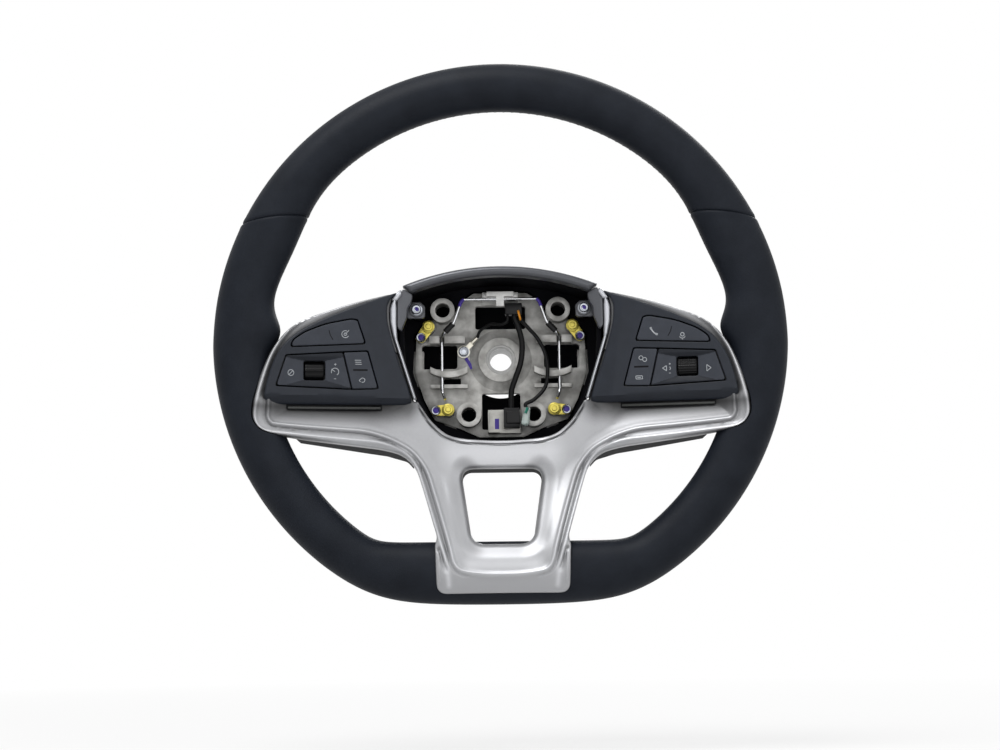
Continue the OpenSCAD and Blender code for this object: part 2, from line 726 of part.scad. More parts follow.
// Switch modules, drawn for the left one in a frame that leans with the spoke.
// Its Y is zero at the face and grows towards the back.
module place_left_of_hub() {
  translate([-switch_x, wing_y(switch_x) - switch_proud, 0]) rotate([0, 0, spoke_lean]) children();
}
HOUSING = [[42.4, 39.9], [22, 33], [-2, 23.6], [-19.6, 15.2], [-30.7, 6.8], [-37.6, -3.2], [-41.4, -13.2],
           [-45.4, -31], [-38.5, -34.2], [47, -34.3], [51.2, -33], [48, -21], [43.2, -9], [38.4, 7],
           [35, 20], [34.8, 30], [36.8, 34.6]];
UPPER_KEY = [[-27.7, 2.9], [-26.5, 6.8], [-19.5, 12], [-5.4, 17.7], [11.4, 21.1], [15.3, 20.4], [20.3, 5.3]];
PANEL = [[-37.2, -22.5], [-30.8, -3], [5.6, -0.7], [11.2, -24.6]];
SIDE_KEY = [[6.2, -0.7], [21.8, 0.1], [28.5, -24.1], [11.8, -24.6]];
roller_x = -12.6;
roller_z = -12.65;
upper_pivot_x = -1.5;
side_pivot_z = -12.2;
ear_t = 2;
back_t = 2;
board_depth = housing_d - board_up;
fold_z = -28.6;       // where the face folds back above the housing's lower edge
fold_h = 5.7;         // height of the slope below the fold
fold_d = 5.4;         // depth of the slope below the fold
deep_low = fold_z - 2.2;
module housing_outline() { rounded(1.2) polygon(HOUSING); }
// The part of the housing that is clear of the rim
module body_outline() {
  intersection() {
    housing_outline();
    polygon([[-body_reach, deep_low], [80, deep_low], [80, 80], [-18, 80], [-body_reach, -6]]);
  }
}
module upper_key_outline() { rounded(1.5) polygon(UPPER_KEY); }
module panel_outline() { rounded(0.8) polygon(PANEL); }
module side_key_outline() { rounded(0.8) polygon(SIDE_KEY); }
// An ear with a pin hole, pin along Z
module ear_z(x, z) {
  difference() {
    block(x - 2.4, x + 2.4, face_t, pivot_depth + 2.2, z, z + ear_t);
    bar_z(x, pivot_depth, z - 1, z + ear_t + 1, pivot_d + 2 * pivot_gap);
  }
}
SWITCH_SCREWS = [[28, 18], [38, -24]];
STRIP_UNDER = [-29.5, 31, -38.2];    // left end, right end and lower edge
module switch_housing() {
  color([0.17, 0.18, 0.2]) difference() {
    union() {
      difference() {
        union() {
          slab(0, lip_d) housing_outline();
          slab(0, housing_d) body_outline();
        }
        slab(face_t, lip_d - housing_t) intersection() {
          offset(delta = -housing_t) housing_outline();
          translate([-80, fold_z]) square([160, 120]);
        }
        slab(face_t, housing_d + 1) offset(delta = -housing_t) body_outline();
        slab(-1, face_t + 1) offset(delta = key_gap) {
          upper_key_outline();
          panel_outline();
          side_key_outline();
        }
      }
      // strip under the housing
      block(STRIP_UNDER[0], STRIP_UNDER[1], 4.6, 12, STRIP_UNDER[2], deep_low);
      ear_z(upper_pivot_x, 1);
      ear_z(upper_pivot_x, 19.3);
      ear_z(roller_x, -1.1);
      ear_z(roller_x, -26.2);
      // rib between panel and side key
      intersection() {
        slab(4.4, 7.6) polygon([[4.6, 1.4], [6.8, 1.4], [12.8, -26.4], [10.6, -26.4]]);
        block(0, 30, 0, 10, -27, 2);
      }
      block(4.6, 6.8, face_t, 7.6, 0.6, 2.4);
      block(10.6, 12.8, face_t, 7.6, -27.4, -25.6);
      block(26.4, 28.4, face_t, 7.6, side_pivot_z - 3, side_pivot_z + 3);
      for (p = SWITCH_SCREWS) bar_y(p[0], p[1], 5.4, face_t, housing_d - back_t - 0.1);
    }
    // slope below the fold
    translate([-60, 0, 0]) rotate([90, 0, 90]) linear_extrude(130)
      polygon([[-fold_d / fold_h, fold_z + 1], [fold_d - 1, fold_z - fold_h + 1], [fold_d - 1, -60],
               [-fold_d, -60]]);
    bar_x(5, 30, pivot_depth, side_pivot_z, pivot_d + 2 * pivot_gap);
    for (p = SWITCH_SCREWS) bar_y(p[0], p[1], 2.6, face_t + 3, housing_d);
  }
}
roller_ear_x = roller_w / 2 + 1.2;
module switch_back() {
  color("darkslategray") difference() {
    union() {
      slab(housing_d - back_t, housing_d) offset(delta = -housing_t - 0.15) body_outline();
      // ledge under the board
      slab(board_depth + board_t, housing_d) difference() {
        offset(delta = -housing_t - 0.3) body_outline();
        offset(delta = -housing_t - 2) body_outline();
      }
      for (s = [-1, 1]) translate([roller_x + s * (roller_ear_x + ear_t / 2) - ear_t / 2, 0, 0])
        block(0, ear_t, roller_depth - 2.6, housing_d - 1, roller_z - 2.6, roller_z + 2.6);
    }
    bar_x(roller_x - 14, roller_x + 14, roller_depth, roller_z, shaft_d + 2 * pivot_gap);
    for (p = SWITCH_SCREWS) bar_y(p[0], p[1], 3.2, 10, housing_d + 1);
    for (p = SWITCH_SCREWS) bar_y(p[0], p[1], 6.4, 10, housing_d - back_t);
    // connector opening
    block(16, 26, 10, housing_d + 1, -10, -4);
  }
}
module board_outline() {
  difference() {
    offset(delta = -housing_t - 0.4) body_outline();
    translate([roller_x - 11, roller_z - 8.6]) square([22, 17.2]);
    for (p = SWITCH_SCREWS) translate(p) circle(3.1);
  }
}
module switch_board() {
  color("darkgreen") slab(board_depth, board_depth + board_t) board_outline();
}
DOMES = [[-18, 8], [13, 12.5], [-29.5, -14], [1.5, -12.5], [15, -6], [20, -19]];
module dome_mat() {
  color("lightgray") {
    slab(board_depth - mat_t, board_depth) offset(delta = -1) board_outline();
    for (p = DOMES) translate([p[0], board_depth - mat_t + 0.01, p[1]]) rotate([90, 0, 0])
      cylinder(r1 = 3, r2 = 1.8, h = 1.8);
  }
}
module switch_screw_pair() {
  for (p = SWITCH_SCREWS) {
    bar_y(p[0], p[1], 2.5, housing_d - 8, housing_d + 0.02);
    bar_y(p[0], p[1], 5, housing_d + 0.01, housing_d + 1.6);
  }
}
// A key: skin, skirt and plungers
module key_shell(dip = 0) {
  slab(0, key_t + dip) children();
  slab(key_t, skirt_d) difference() {
    children();
    offset(delta = -1.2) children();
  }
}
module upper_key() {
  color([0.2, 0.21, 0.23]) {
    difference() {
      key_shell() upper_key_outline();
      // slit between the two halves
      translate([-1.5, 0, 10.6]) rotate([0, 18, 0]) block(-0.4, 0.4, -1, 0.6, -3.8, 3.8);
    }
    block(upper_pivot_x - 1.6, upper_pivot_x + 1.6, key_t - 0.01, pivot_depth + 1, 5, 16.5);
    bar_z(upper_pivot_x, pivot_depth, 1.2, 21.1, pivot_d);
    for (i = [0, 1]) bar_y(DOMES[i][0], DOMES[i][1], 2.4, 1, 8);
  }
}
module side_key() {
  color([0.2, 0.21, 0.23]) {
    difference() {
      key_shell() side_key_outline();
      block(12.8, 22, -1, 0.5, side_pivot_z - 0.6, side_pivot_z + 0.6);
    }
    block(13.5, 20.5, key_t - 0.01, pivot_depth + 1, side_pivot_z - 1.6, side_pivot_z + 1.6);
    bar_x(8, 28.2, pivot_depth, side_pivot_z, pivot_d);
    for (i = [4, 5]) bar_y(DOMES[i][0], DOMES[i][1], 2.4, 1, 8);
  }
}
module roller_panel() {
  color([0.2, 0.21, 0.23]) {
    difference() {
      key_shell(panel_dip) panel_outline();
      // four faces that dip towards the roller
      hull() {
        slab(-0.5, 0.02) intersection() {
          panel_outline();
          translate([-35, -21.8]) square([44, 19]);
        }
        translate([roller_x, 0, roller_z])
          block(-roller_slot_w / 2, roller_slot_w / 2, 0, panel_dip, -roller_slot_h / 2, roller_slot_h / 2);
      }
      translate([roller_x, 0, roller_z])
        block(-roller_slot_w / 2, roller_slot_w / 2, -1, 8, -roller_slot_h / 2, roller_slot_h / 2);
    }
    bar_z(roller_x, pivot_depth, -3.6, 0.7, pivot_d);
    block(roller_x - 1.6, roller_x + 1.6, key_t, pivot_depth + 1, -4.4, -2.6);
    bar_z(roller_x, pivot_depth, -26, -21.6, pivot_d);
    block(roller_x - 1.6, roller_x + 1.6, key_t, pivot_depth + 1, -22.4, -20.6);
    for (i = [2, 3]) bar_y(DOMES[i][0], DOMES[i][1], 2.4, 1, 8);
  }
}
module roller_shaft() {
  bar_x(roller_x - roller_ear_x - ear_t, roller_x + roller_ear_x + ear_t, roller_depth, roller_z, shaft_d);
}
// Roller that tips up and down, with one ridge
module toggle_roller() {
  color([0.08, 0.08, 0.09]) {
    bar_x(roller_x - roller_w / 2, roller_x + roller_w / 2, roller_depth, roller_z, roller_d - 0.6);
    for (a = [-8, 0, 8]) translate([roller_x, roller_depth, roller_z]) rotate([a * 4, 0, 0])
      block(-roller_w / 2 + 0.6, roller_w / 2 - 0.6, -roller_d / 2, -roller_d / 2 + 1.4, -0.5, 0.5);
    roller_shaft();
  }
}
// Knurled roller that scrolls
module scroll_roller() {
  color([0.08, 0.08, 0.09]) {
    bar_x(roller_x - roller_w / 2, roller_x + roller_w / 2, roller_depth, roller_z, roller_d - 0.8);
    for (a = [0:20:340]) translate([roller_x, roller_depth, roller_z]) rotate([a, 0, 0])
      block(-roller_w / 2 + 0.5, roller_w / 2 - 0.5, -roller_d / 2, -roller_d / 2 + 1.4, -0.5, 0.5);
    roller_shaft();
  }
}
module on_left() { place_left_of_hub() children(); }
module on_right() { mirror([1, 0, 0]) place_left_of_hub() children(); }
module switch_housing_left() { on_left() switch_housing(); }
module switch_housing_right() { on_right() switch_housing(); }
module switch_back_left() { on_left() switch_back(); }
module switch_back_right() { on_right() switch_back(); }
module switch_board_left() { on_left() switch_board(); }
module switch_board_right() { on_right() switch_board(); }
module dome_mat_left() { on_left() dome_mat(); }
module dome_mat_right() { on_right() dome_mat(); }
module left_upper_key() { on_left() upper_key(); }
module left_side_key() { on_left() side_key(); }
module left_roller_panel() { on_left() roller_panel(); }
module left_roller() { on_left() toggle_roller(); }
module right_upper_key() { on_right() upper_key(); }
module right_side_key() { on_right() side_key(); }
module right_roller_panel() { on_right() roller_panel(); }
module right_roller() { on_right() scroll_roller(); }
module switch_screws() {
  color("gray") {
    on_left() switch_screw_pair();
    on_right() switch_screw_pair();
  }
}

// Airbag retaining wire with its sleeves and clamp
wire_y = -eye_front - 2.2;
WIRE_HALF = [[24.4, wire_y, 39.8], [26.2, wire_y, 38.4], [30.4, wire_y, 26.2], [31.4, wire_y, 23.8],
             [38, -11.2, 17.4], [39.4, -9, 15.4], [39.6, -5.2, 12.6], [39.6, -5, -20], [39, -6, -23],
             [37.6, -9, -27]];
module retaining_spring() {
  left_end = [for (i = [9:-1:0]) [-WIRE_HALF[i][0], WIRE_HALF[i][1], WIRE_HALF[i][2]]];
  color("lightsteelblue") tube(concat(left_end, WIRE_HALF), wire_d, 1);
}
module spring_sleeves() {
  a = WIRE_HALF[3];
  b = WIRE_HALF[4];
  color([0.1, 0.1, 0.1]) both_sides() difference() {
    rod(a + 0.06 * (b - a), a + 0.84 * (b - a), wire_sleeve_d);
    rod(a, b, wire_d + 0.1);
  }
}
module spring_clamp() {
  color("gainsboro") difference() {
    union() {
      block(-12, 12, wire_y + wire_d / 2 + 0.1, -6, 39, 44.5);
      block(-2.6, 2.6, wire_y - wire_d / 2 - 1.6, wire_y + wire_d / 2 + 0.2, 34.8, 44.5);
      block(-9, 9, wire_y - wire_d / 2 - 1.6, wire_y + wire_d / 2 + 0.2, 41.4, 44.5);
    }
    bar_x(-20, 20, wire_y, 39.8, wire_d + 0.2);
  }
}

// Horn contact bolts, straps and screws
module flange_bolt(x, z) {
  bar_y(x, z, flange_d, -8.4, -7);
  bar_y(x, z, flange_d - 2, -10.6, -8.4);
  bar_y(x, z, tap_d - 0.2, -7, plate_t);
}
module horn_bolts() {
  color("khaki") for (s = [-1, 1], p = BOLTS) flange_bolt(s * p[0], p[1]);
}
module strap(p, q) {
  slab(-6 - strap_t, -6) difference() {
    hull() {
      translate(p) circle(4);
      translate(q) circle(3.4);
    }
    translate(p) circle(d = tap_d + 0.4);
    translate(q) circle(d = tap_d - 0.8);
  }
}
module contact_straps() {
  color("goldenrod") for (s = [0, 1], i = [0, 1]) mirror([s, 0, 0]) strap(BOLTS[i], CONTACTS[i]);
}
module contact_screws() {
  color("mediumpurple") for (s = [-1, 1], p = CONTACTS) {
    bar_y(s * p[0], p[1], contact_head_d, -9.6, -6.9);
    bar_y(s * p[0], p[1], 3, -6.9, plate_t);
  }
}
module trim_screws() {
  color("silver") for (s = [-1, 1]) {
    bar_y(s * TAB[0], TAB[1], 7.6, -32.6, -30.1);
    bar_y(s * TAB[0], TAB[1], 3, -30.1, -16);
  }
}
module cover_screws() {
  color("gray") for (p = COVER_SCREWS) {
    bar_y(p[0], p[1], 8, cover_back + 0.1, cover_back + 2.4);
    bar_y(p[0], p[1], 3.6, plate_t + 0.5, cover_back + 0.1);
  }
}

// Earth screw, terminal and lead
module earth_screw() {
  color("silver") {
    bar_y(EARTH[0], EARTH[1], 7.4, -6.6, -3.9);
    bar_y(EARTH[0], EARTH[1], tap_d - 0.2, -3.9, plate_t);
  }
}
module earth_terminal() {
  color("gainsboro") {
    slab(-3.8, -3) difference() {
      union() {
        translate(EARTH) circle(4.2);
        translate(EARTH) rotate(46) translate([3, -1.6]) square([6, 3.2]);
      }
      translate(EARTH) circle(2.2);
    }
    rod([EARTH[0] + 5.4, -4.6, EARTH[1] + 5.6], [EARTH[0] + 9, -4.6, EARTH[1] + 9.2], 3);
  }
}

// Leads: tubes along points chosen by hand
function along(p) = [for (i = [0:len(p) - 1])
  let(a = p[max(0, i - 1)], b = p[min(len(p) - 1, i + 1)]) (b - a) / norm(b - a)];
function spline(p, i, t) = let(a = p[max(0, i - 1)], b = p[i], c = p[i + 1], d = p[min(len(p) - 1, i + 2)])
  0.5 * (2 * b + (c - a) * t + (2 * a - 5 * b + 4 * c - d) * t * t + (3 * b - a - 3 * c + d) * t * t * t);
function route(p, n) =
  concat([for (i = [0:len(p) - 2]) for (k = [0:n - 1]) spline(p, i, k / n)], [p[len(p) - 1]]);
module tube(points, d, steps = 3) {
  path = route(points, steps);
  dirs = along(path);
  m = len(path);
  rings = [for (i = [0:m - 1])
    let(u = cross(dirs[i], [0, 1, 0]), e = u / norm(u), f = cross(e, dirs[i]))
    [for (k = [0:7]) path[i] + d / 2 * (cos(45 * k) * e + sin(45 * k) * f)]];
  polyhedron(flat_list(rings),
             concat([for (i = [0:m - 2]) each band(i, i + 1, 8)],
                    [[for (k = [0:7]) k]], [[for (k = [7:-1:0]) (m - 1) * 8 + k]]), convexity = 4);
}
MAIN_ROUTE = [[9.6, -14, 28.7], [9.9, -14, 26], [12.2, -13.6, 20], [14.4, -12.4, 10], [13.6, -12, -2],
              [10, -12, -13], [7, -11, -22], [6.6, -9, -33.4]];
THIN_ROUTE = [[13.2, -14, 28.7], [13.7, -14, 26], [18, -12.6, 21], [24.6, -11.2, 13.5], [29.8, -10.8, 3],
              [31.4, -10.8, -9], [29.4, -11.4, -20], [22.4, -14.2, -28], [16.6, -15.4, -31.2],
              [16.4, -15.5, -33.5]];
EARTH_ROUTE = [[-15.6, -4.6, 15.2], [-13.4, -6.5, 19.6], [-6.5, -10, 23.4], [0.6, -13, 22.6],
               [4.6, -13.8, 24.8], [4.9, -13.8, 28.7]];
module main_lead() { color([0.07, 0.07, 0.07]) tube(MAIN_ROUTE, main_lead_d); }
module thin_lead() { color([0.07, 0.07, 0.07]) tube(THIN_ROUTE, thin_lead_d); }
module earth_lead() { color([0.07, 0.07, 0.07]) tube(EARTH_ROUTE, earth_lead_d); }
module main_connector() {
  color([0.1, 0.1, 0.1]) {
    block(3.2, 14.6, -18, -10, 28.8, 36.4);
    block(5, 11, -10, -2, 33, 37);
  }
}
module lower_connector() {
  color([0.1, 0.1, 0.1]) {
    block(1.6, 12.4, -12.6, -5, -47, -33.6);
    block(3.4, 12.4, -15, -12.6, -44, -36);
  }
}
module clear_connector() {
  color([0.7, 0.9, 0.85]) block(12.8, 20, -18.6, -12.4, -46.5, -33.6);
}
module connector_bracket() {
  color("gainsboro") {
    block(-9, 12.8, -4.6, -3.8, -50, -34);
    block(-9, -1, -10, -4.6, -50, -49);
    block(-9, -8, -10, -4.6, -50, -36);
    block(-9, 12.8, -3.8, -0.2, -50, -47.6);
  }
}

armature();
hub_sleeve();
rim_ring();
rim_foam();
leather_top();
leather_left();
leather_right();
spoke_bezel();
upper_trim();
chrome_strip_left();
chrome_strip_right();
rear_cover();
well_ledge();
switch_housing_left();
switch_housing_right();
switch_back_left();
switch_back_right();
switch_board_left();
switch_board_right();
dome_mat_left();
dome_mat_right();
left_upper_key();
left_side_key();
left_roller_panel();
left_roller();
right_upper_key();
right_side_key();
right_roller_panel();
right_roller();
retaining_spring();
spring_sleeves();
spring_clamp();
horn_bolts();
contact_straps();
contact_screws();
trim_screws();
switch_screws();
cover_screws();
earth_screw();
earth_terminal();
earth_lead();
main_connector();
main_lead();
thin_lead();
lower_connector();
clear_connector();
connector_bracket();
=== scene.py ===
import json
import math

import bmesh
import bpy
import numpy as np
from mathutils import Matrix, Vector
from mathutils.geometry import delaunay_2d_cdt


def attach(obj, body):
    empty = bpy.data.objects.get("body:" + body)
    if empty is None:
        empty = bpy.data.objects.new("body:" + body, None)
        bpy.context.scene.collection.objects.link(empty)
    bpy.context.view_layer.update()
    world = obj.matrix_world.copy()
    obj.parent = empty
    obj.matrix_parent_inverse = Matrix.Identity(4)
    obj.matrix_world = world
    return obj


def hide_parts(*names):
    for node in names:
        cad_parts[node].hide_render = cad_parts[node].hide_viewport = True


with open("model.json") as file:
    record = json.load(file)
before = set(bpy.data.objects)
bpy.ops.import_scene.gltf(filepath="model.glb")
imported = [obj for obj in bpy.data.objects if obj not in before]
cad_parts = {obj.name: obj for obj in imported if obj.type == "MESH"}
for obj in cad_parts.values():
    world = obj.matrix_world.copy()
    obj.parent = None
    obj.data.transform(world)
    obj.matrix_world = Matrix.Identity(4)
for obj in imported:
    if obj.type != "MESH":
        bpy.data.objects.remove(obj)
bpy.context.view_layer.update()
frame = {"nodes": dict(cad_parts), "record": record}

# Lengths below are in millimetres, in the frame of the CAD model: X right, Y away from the
# driver, Z up. MM turns them into metres where a mesh is made.
MM = 0.001
BODY = "wheel"
NODES = frame["nodes"]


# Camera and cords come first

CAMERA_AIM = (-0.6, -50.0, -16.0)
CAMERA_DISTANCE = 1300.0
CAMERA_FROM_BELOW = 7.0
CAMERA_ROLL = 0.7
CAMERA_LENS = 71.91


def add_object(name, data):
    obj = bpy.data.objects.new(name, data)
    bpy.context.scene.collection.objects.link(obj)
    return obj


def aimed(place, toward):
    """The placing of a camera or a lamp that looks in a direction."""
    return Matrix.Translation(place) @ toward.to_track_quat("-Z", "Y").to_matrix().to_4x4()


def add_camera():
    """Places the camera where the photograph was taken, a little below the wheel's middle."""
    data = bpy.data.cameras.new("camera")
    data.sensor_width = 36.0
    data.lens = CAMERA_LENS
    camera = add_object("camera", data)
    tilt = math.radians(CAMERA_FROM_BELOW)
    back = Vector((0, -math.cos(tilt), -math.sin(tilt)))
    place = (Vector(CAMERA_AIM) + CAMERA_DISTANCE * back) * MM
    camera.matrix_world = aimed(place, -back) @ Matrix.Rotation(-math.radians(CAMERA_ROLL), 4, "Z")
    bpy.context.scene.camera = camera


def smooth_route(points, steps=12):
    """A Catmull-Rom line through the points, as the CAD model draws its leads."""
    p = [Vector(q) for q in points]
    line = []
    for i in range(len(p) - 1):
        a, b, c, d = p[max(0, i - 1)], p[i], p[i + 1], p[min(len(p) - 1, i + 2)]
        for k in range(steps):
            t = k / steps
            line.append(0.5 * (2 * b + (c - a) * t + (2 * a - 5 * b + 4 * c - d) * t * t
                               + (3 * b - a - 3 * c + d) * t ** 3))
    line.append(p[-1])
    return line


def curve_tube(name, lines, diameter, material, resolution=5):
    """Round wires, leads or stitches along lines of points."""
    data = bpy.data.curves.new(name, "CURVE")
    data.dimensions = "3D"
    data.bevel_depth = diameter / 2 * MM
    data.bevel_resolution = resolution
    data.use_fill_caps = True
    for line in lines:
        spline = data.splines.new("POLY")
        spline.points.add(len(line) - 1)
        for point, place in zip(spline.points, line):
            point.co = (*(Vector(place) * MM), 1)
    data.materials.append(material)
    return add_object(name, data)


# The routes repeat those of the CAD model
LEADS = {
    "main_lead": (3.8, [(9.6, -14, 28.7), (9.9, -14, 26), (12.2, -13.6, 20), (14.4, -12.4, 10),
                        (13.6, -12, -2), (10, -12, -13), (7, -11, -22), (6.6, -9, -33.4)]),
    "thin_lead": (2.6, [(13.2, -14, 28.7), (13.7, -14, 26), (18, -12.6, 21), (24.6, -11.2, 13.5),
                        (29.8, -10.8, 3), (31.4, -10.8, -9), (29.4, -11.4, -20), (22.4, -14.2, -28),
                        (16.6, -15.4, -31.2), (16.4, -15.5, -33.5)]),
    "earth_lead": (2.0, [(-15.6, -4.6, 15.2), (-13.4, -6.5, 19.6), (-6.5, -10, 23.4), (0.6, -13, 22.6),
                         (4.6, -13.8, 24.8), (4.9, -13.8, 28.7)]),
}


def add_leads(finish):
    """The three leads in the well, from connector to connector or terminal."""
    for node, (diameter, route) in LEADS.items():
        line = smooth_route(route)
        lead = curve_tube(node + "_sheath", [line], diameter, finish)
        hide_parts(node)
        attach(lead, BODY)


# Materials

def new_material(name, colour, roughness=0.5, metallic=0.0, **sockets):
    """A principled material with constant values on its own sockets."""
    mat = bpy.data.materials.new(name)
    mat.use_nodes = True
    shader = mat.node_tree.nodes["Principled BSDF"]
    shader.inputs["Base Color"].default_value = (*colour, 1)
    shader.inputs["Roughness"].default_value = roughness
    shader.inputs["Metallic"].default_value = metallic
    for socket, value in sockets.items():
        shader.inputs[socket.replace("_", " ")].default_value = value
    return mat


def noise(mat, scale, detail=3.0, kind="ShaderNodeTexNoise"):
    """A procedural texture in the part's own coordinates; its cells are about 1 / scale metres."""
    nodes, links = mat.node_tree.nodes, mat.node_tree.links
    texture = nodes.new(kind)
    texture.inputs["Scale"].default_value = scale
    if "Detail" in texture.inputs:
        texture.inputs["Detail"].default_value = detail
    links.new(nodes.new("ShaderNodeTexCoord").outputs["Object"], texture.inputs["Vector"])
    return texture.outputs["Fac"] if "Fac" in texture.outputs else texture.outputs["Distance"]


def math_node(tree, operation, first, second):
    """Works on an output and on another output or a number."""
    node = tree.nodes.new("ShaderNodeMath")
    node.operation = operation
    tree.links.new(first, node.inputs[0])
    if isinstance(second, float):
        node.inputs[1].default_value = second
    else:
        tree.links.new(second, node.inputs[1])
    return node.outputs[0]


def map_range(tree, value, low, high, start=0.0, end=1.0):
    """Turns the range from start to end into that from low to high."""
    spread = tree.nodes.new("ShaderNodeMapRange")
    for socket, number in (("From Min", start), ("From Max", end), ("To Min", low), ("To Max", high)):
        spread.inputs[socket].default_value = number
    tree.links.new(value, spread.inputs["Value"])
    return spread.outputs["Result"]


def mottle(mat, scale, low, high, detail=3.0):
    """Varies the colour between two values."""
    nodes, links = mat.node_tree.nodes, mat.node_tree.links
    ramp = nodes.new("ShaderNodeValToRGB")
    for element, position, colour in zip(ramp.color_ramp.elements, (0.35, 0.65), (low, high)):
        element.position = position
        element.color = (*colour, 1)
    links.new(noise(mat, scale, detail), ramp.inputs["Fac"])
    links.new(ramp.outputs["Color"], nodes["Principled BSDF"].inputs["Base Color"])


def vary_roughness(mat, scale, low, high):
    tree = mat.node_tree
    spread = map_range(tree, noise(mat, scale), low, high)
    tree.links.new(spread, tree.nodes["Principled BSDF"].inputs["Roughness"])


def bump(mat, scale, height, strength=0.6, kind="ShaderNodeTexNoise", detail=3.0):
    """Adds relief of about that height in metres, on top of any that is there."""
    nodes, links = mat.node_tree.nodes, mat.node_tree.links
    relief_node = nodes.new("ShaderNodeBump")
    relief_node.inputs["Strength"].default_value = strength
    relief_node.inputs["Distance"].default_value = height
    normal = nodes["Principled BSDF"].inputs["Normal"]
    if normal.is_linked:
        links.new(normal.links[0].from_socket, relief_node.inputs["Normal"])
    links.new(noise(mat, scale, detail, kind), relief_node.inputs["Height"])
    links.new(relief_node.outputs["Normal"], normal)


def multiply_colour(mat, factor):
    """Multiplies the colour by what an output gives."""
    nodes, links = mat.node_tree.nodes, mat.node_tree.links
    base = nodes["Principled BSDF"].inputs["Base Color"]
    mix = nodes.new("ShaderNodeMix")
    mix.data_type = "RGBA"
    mix.blend_type = "MULTIPLY"
    mix.inputs["Factor"].default_value = 1.0
    # inputs 6 and 7 are the node's two colours, and output 2 is the mixed one
    links.new(base.links[0].from_socket, mix.inputs[6])
    links.new(factor, mix.inputs[7])
    links.new(mix.outputs[2], base)


def shade_hollows(mat, reach, low, power=1.0):
    """Paints shade into the colour where other surfaces lie within that reach, in metres."""
    tree = mat.node_tree
    hollow = tree.nodes.new("ShaderNodeAmbientOcclusion")
    hollow.samples = 8
    hollow.inputs["Distance"].default_value = reach
    curve = math_node(tree, "POWER", hollow.outputs["AO"], power)
    multiply_colour(mat, map_range(tree, curve, low, 1.0))


def paint_light_by_attribute(mat, attribute):
    """Multiplies the colour by a value that the mesh carries at its points; this paints light and shade into the
    colour.
    """
    value = mat.node_tree.nodes.new("ShaderNodeAttribute")
    value.attribute_name = attribute
    multiply_colour(mat, value.outputs["Color"])


def leather_material():
    mat = new_material("leather", (0.009, 0.0115, 0.0165), 0.5, Specular_IOR_Level=0.11)
    mottle(mat, 60, (0.0075, 0.0095, 0.014), (0.0105, 0.013, 0.0185))
    vary_roughness(mat, 900, 0.44, 0.56)
    bump(mat, 1100, 0.00012, 0.35, "ShaderNodeTexVoronoi")
    bump(mat, 160, 0.0002, 0.12)
    return mat


def silver_material():
    mat = new_material("silver_paint", (0.53, 0.535, 0.555), 0.4, 0.45)
    mottle(mat, 5000, (0.5, 0.505, 0.525), (0.56, 0.565, 0.585), 1.0)
    # painted shade in the hollows, then painted light and shade from a value on the mesh
    shade_hollows(mat, 0.03, 0.1, 2.6)
    paint_light_by_attribute(mat, "painted_light_and_shade")
    bump(mat, 6000, 0.00001, 0.15)
    return mat


def satin_material():
    mat = new_material("satin_trim", (0.07, 0.073, 0.082), 0.33, 0.45)
    mottle(mat, 4000, (0.063, 0.066, 0.075), (0.08, 0.083, 0.092), 1.0)
    return mat


def chrome_material():
    mat = new_material("chrome", (0.44, 0.45, 0.48), 0.36, 0.65)
    vary_roughness(mat, 200, 0.32, 0.4)
    return mat


FINE_GRAIN = (2500, 0.00003)


def plastic_material(name, colour, roughness, grain=FINE_GRAIN[0], height=FINE_GRAIN[1], shine=0.3):
    """Moulded plastic with a fine spark-eroded grain."""
    mat = new_material(name, colour, roughness, Specular_IOR_Level=shine)
    mottle(mat, 120, tuple(0.92 * c for c in colour), tuple(1.08 * c for c in colour))
    bump(mat, grain, height, 0.4)
    return mat


def casting_material():
    mat = new_material("cast_alloy", (0.42, 0.41, 0.385), 0.52, 0.3)
    mottle(mat, 110, (0.31, 0.305, 0.29), (0.6, 0.595, 0.575), 6.0)
    # painted shade in the casting's hollows
    shade_hollows(mat, 0.012, 0.4)
    vary_roughness(mat, 300, 0.42, 0.7)
    bump(mat, 700, 0.0002, 0.5, detail=6.0)
    bump(mat, 120, 0.0006, 0.35, detail=4.0)
    return mat


def metal_material(name, colour, roughness=0.3, metallic=1.0, scale=300):
    mat = new_material(name, colour, roughness, metallic)
    mottle(mat, scale, tuple(0.82 * c for c in colour), colour)
    vary_roughness(mat, 2 * scale, 0.7 * roughness, 1.3 * roughness)
    bump(mat, 4 * scale, 0.00003, 0.3)
    return mat


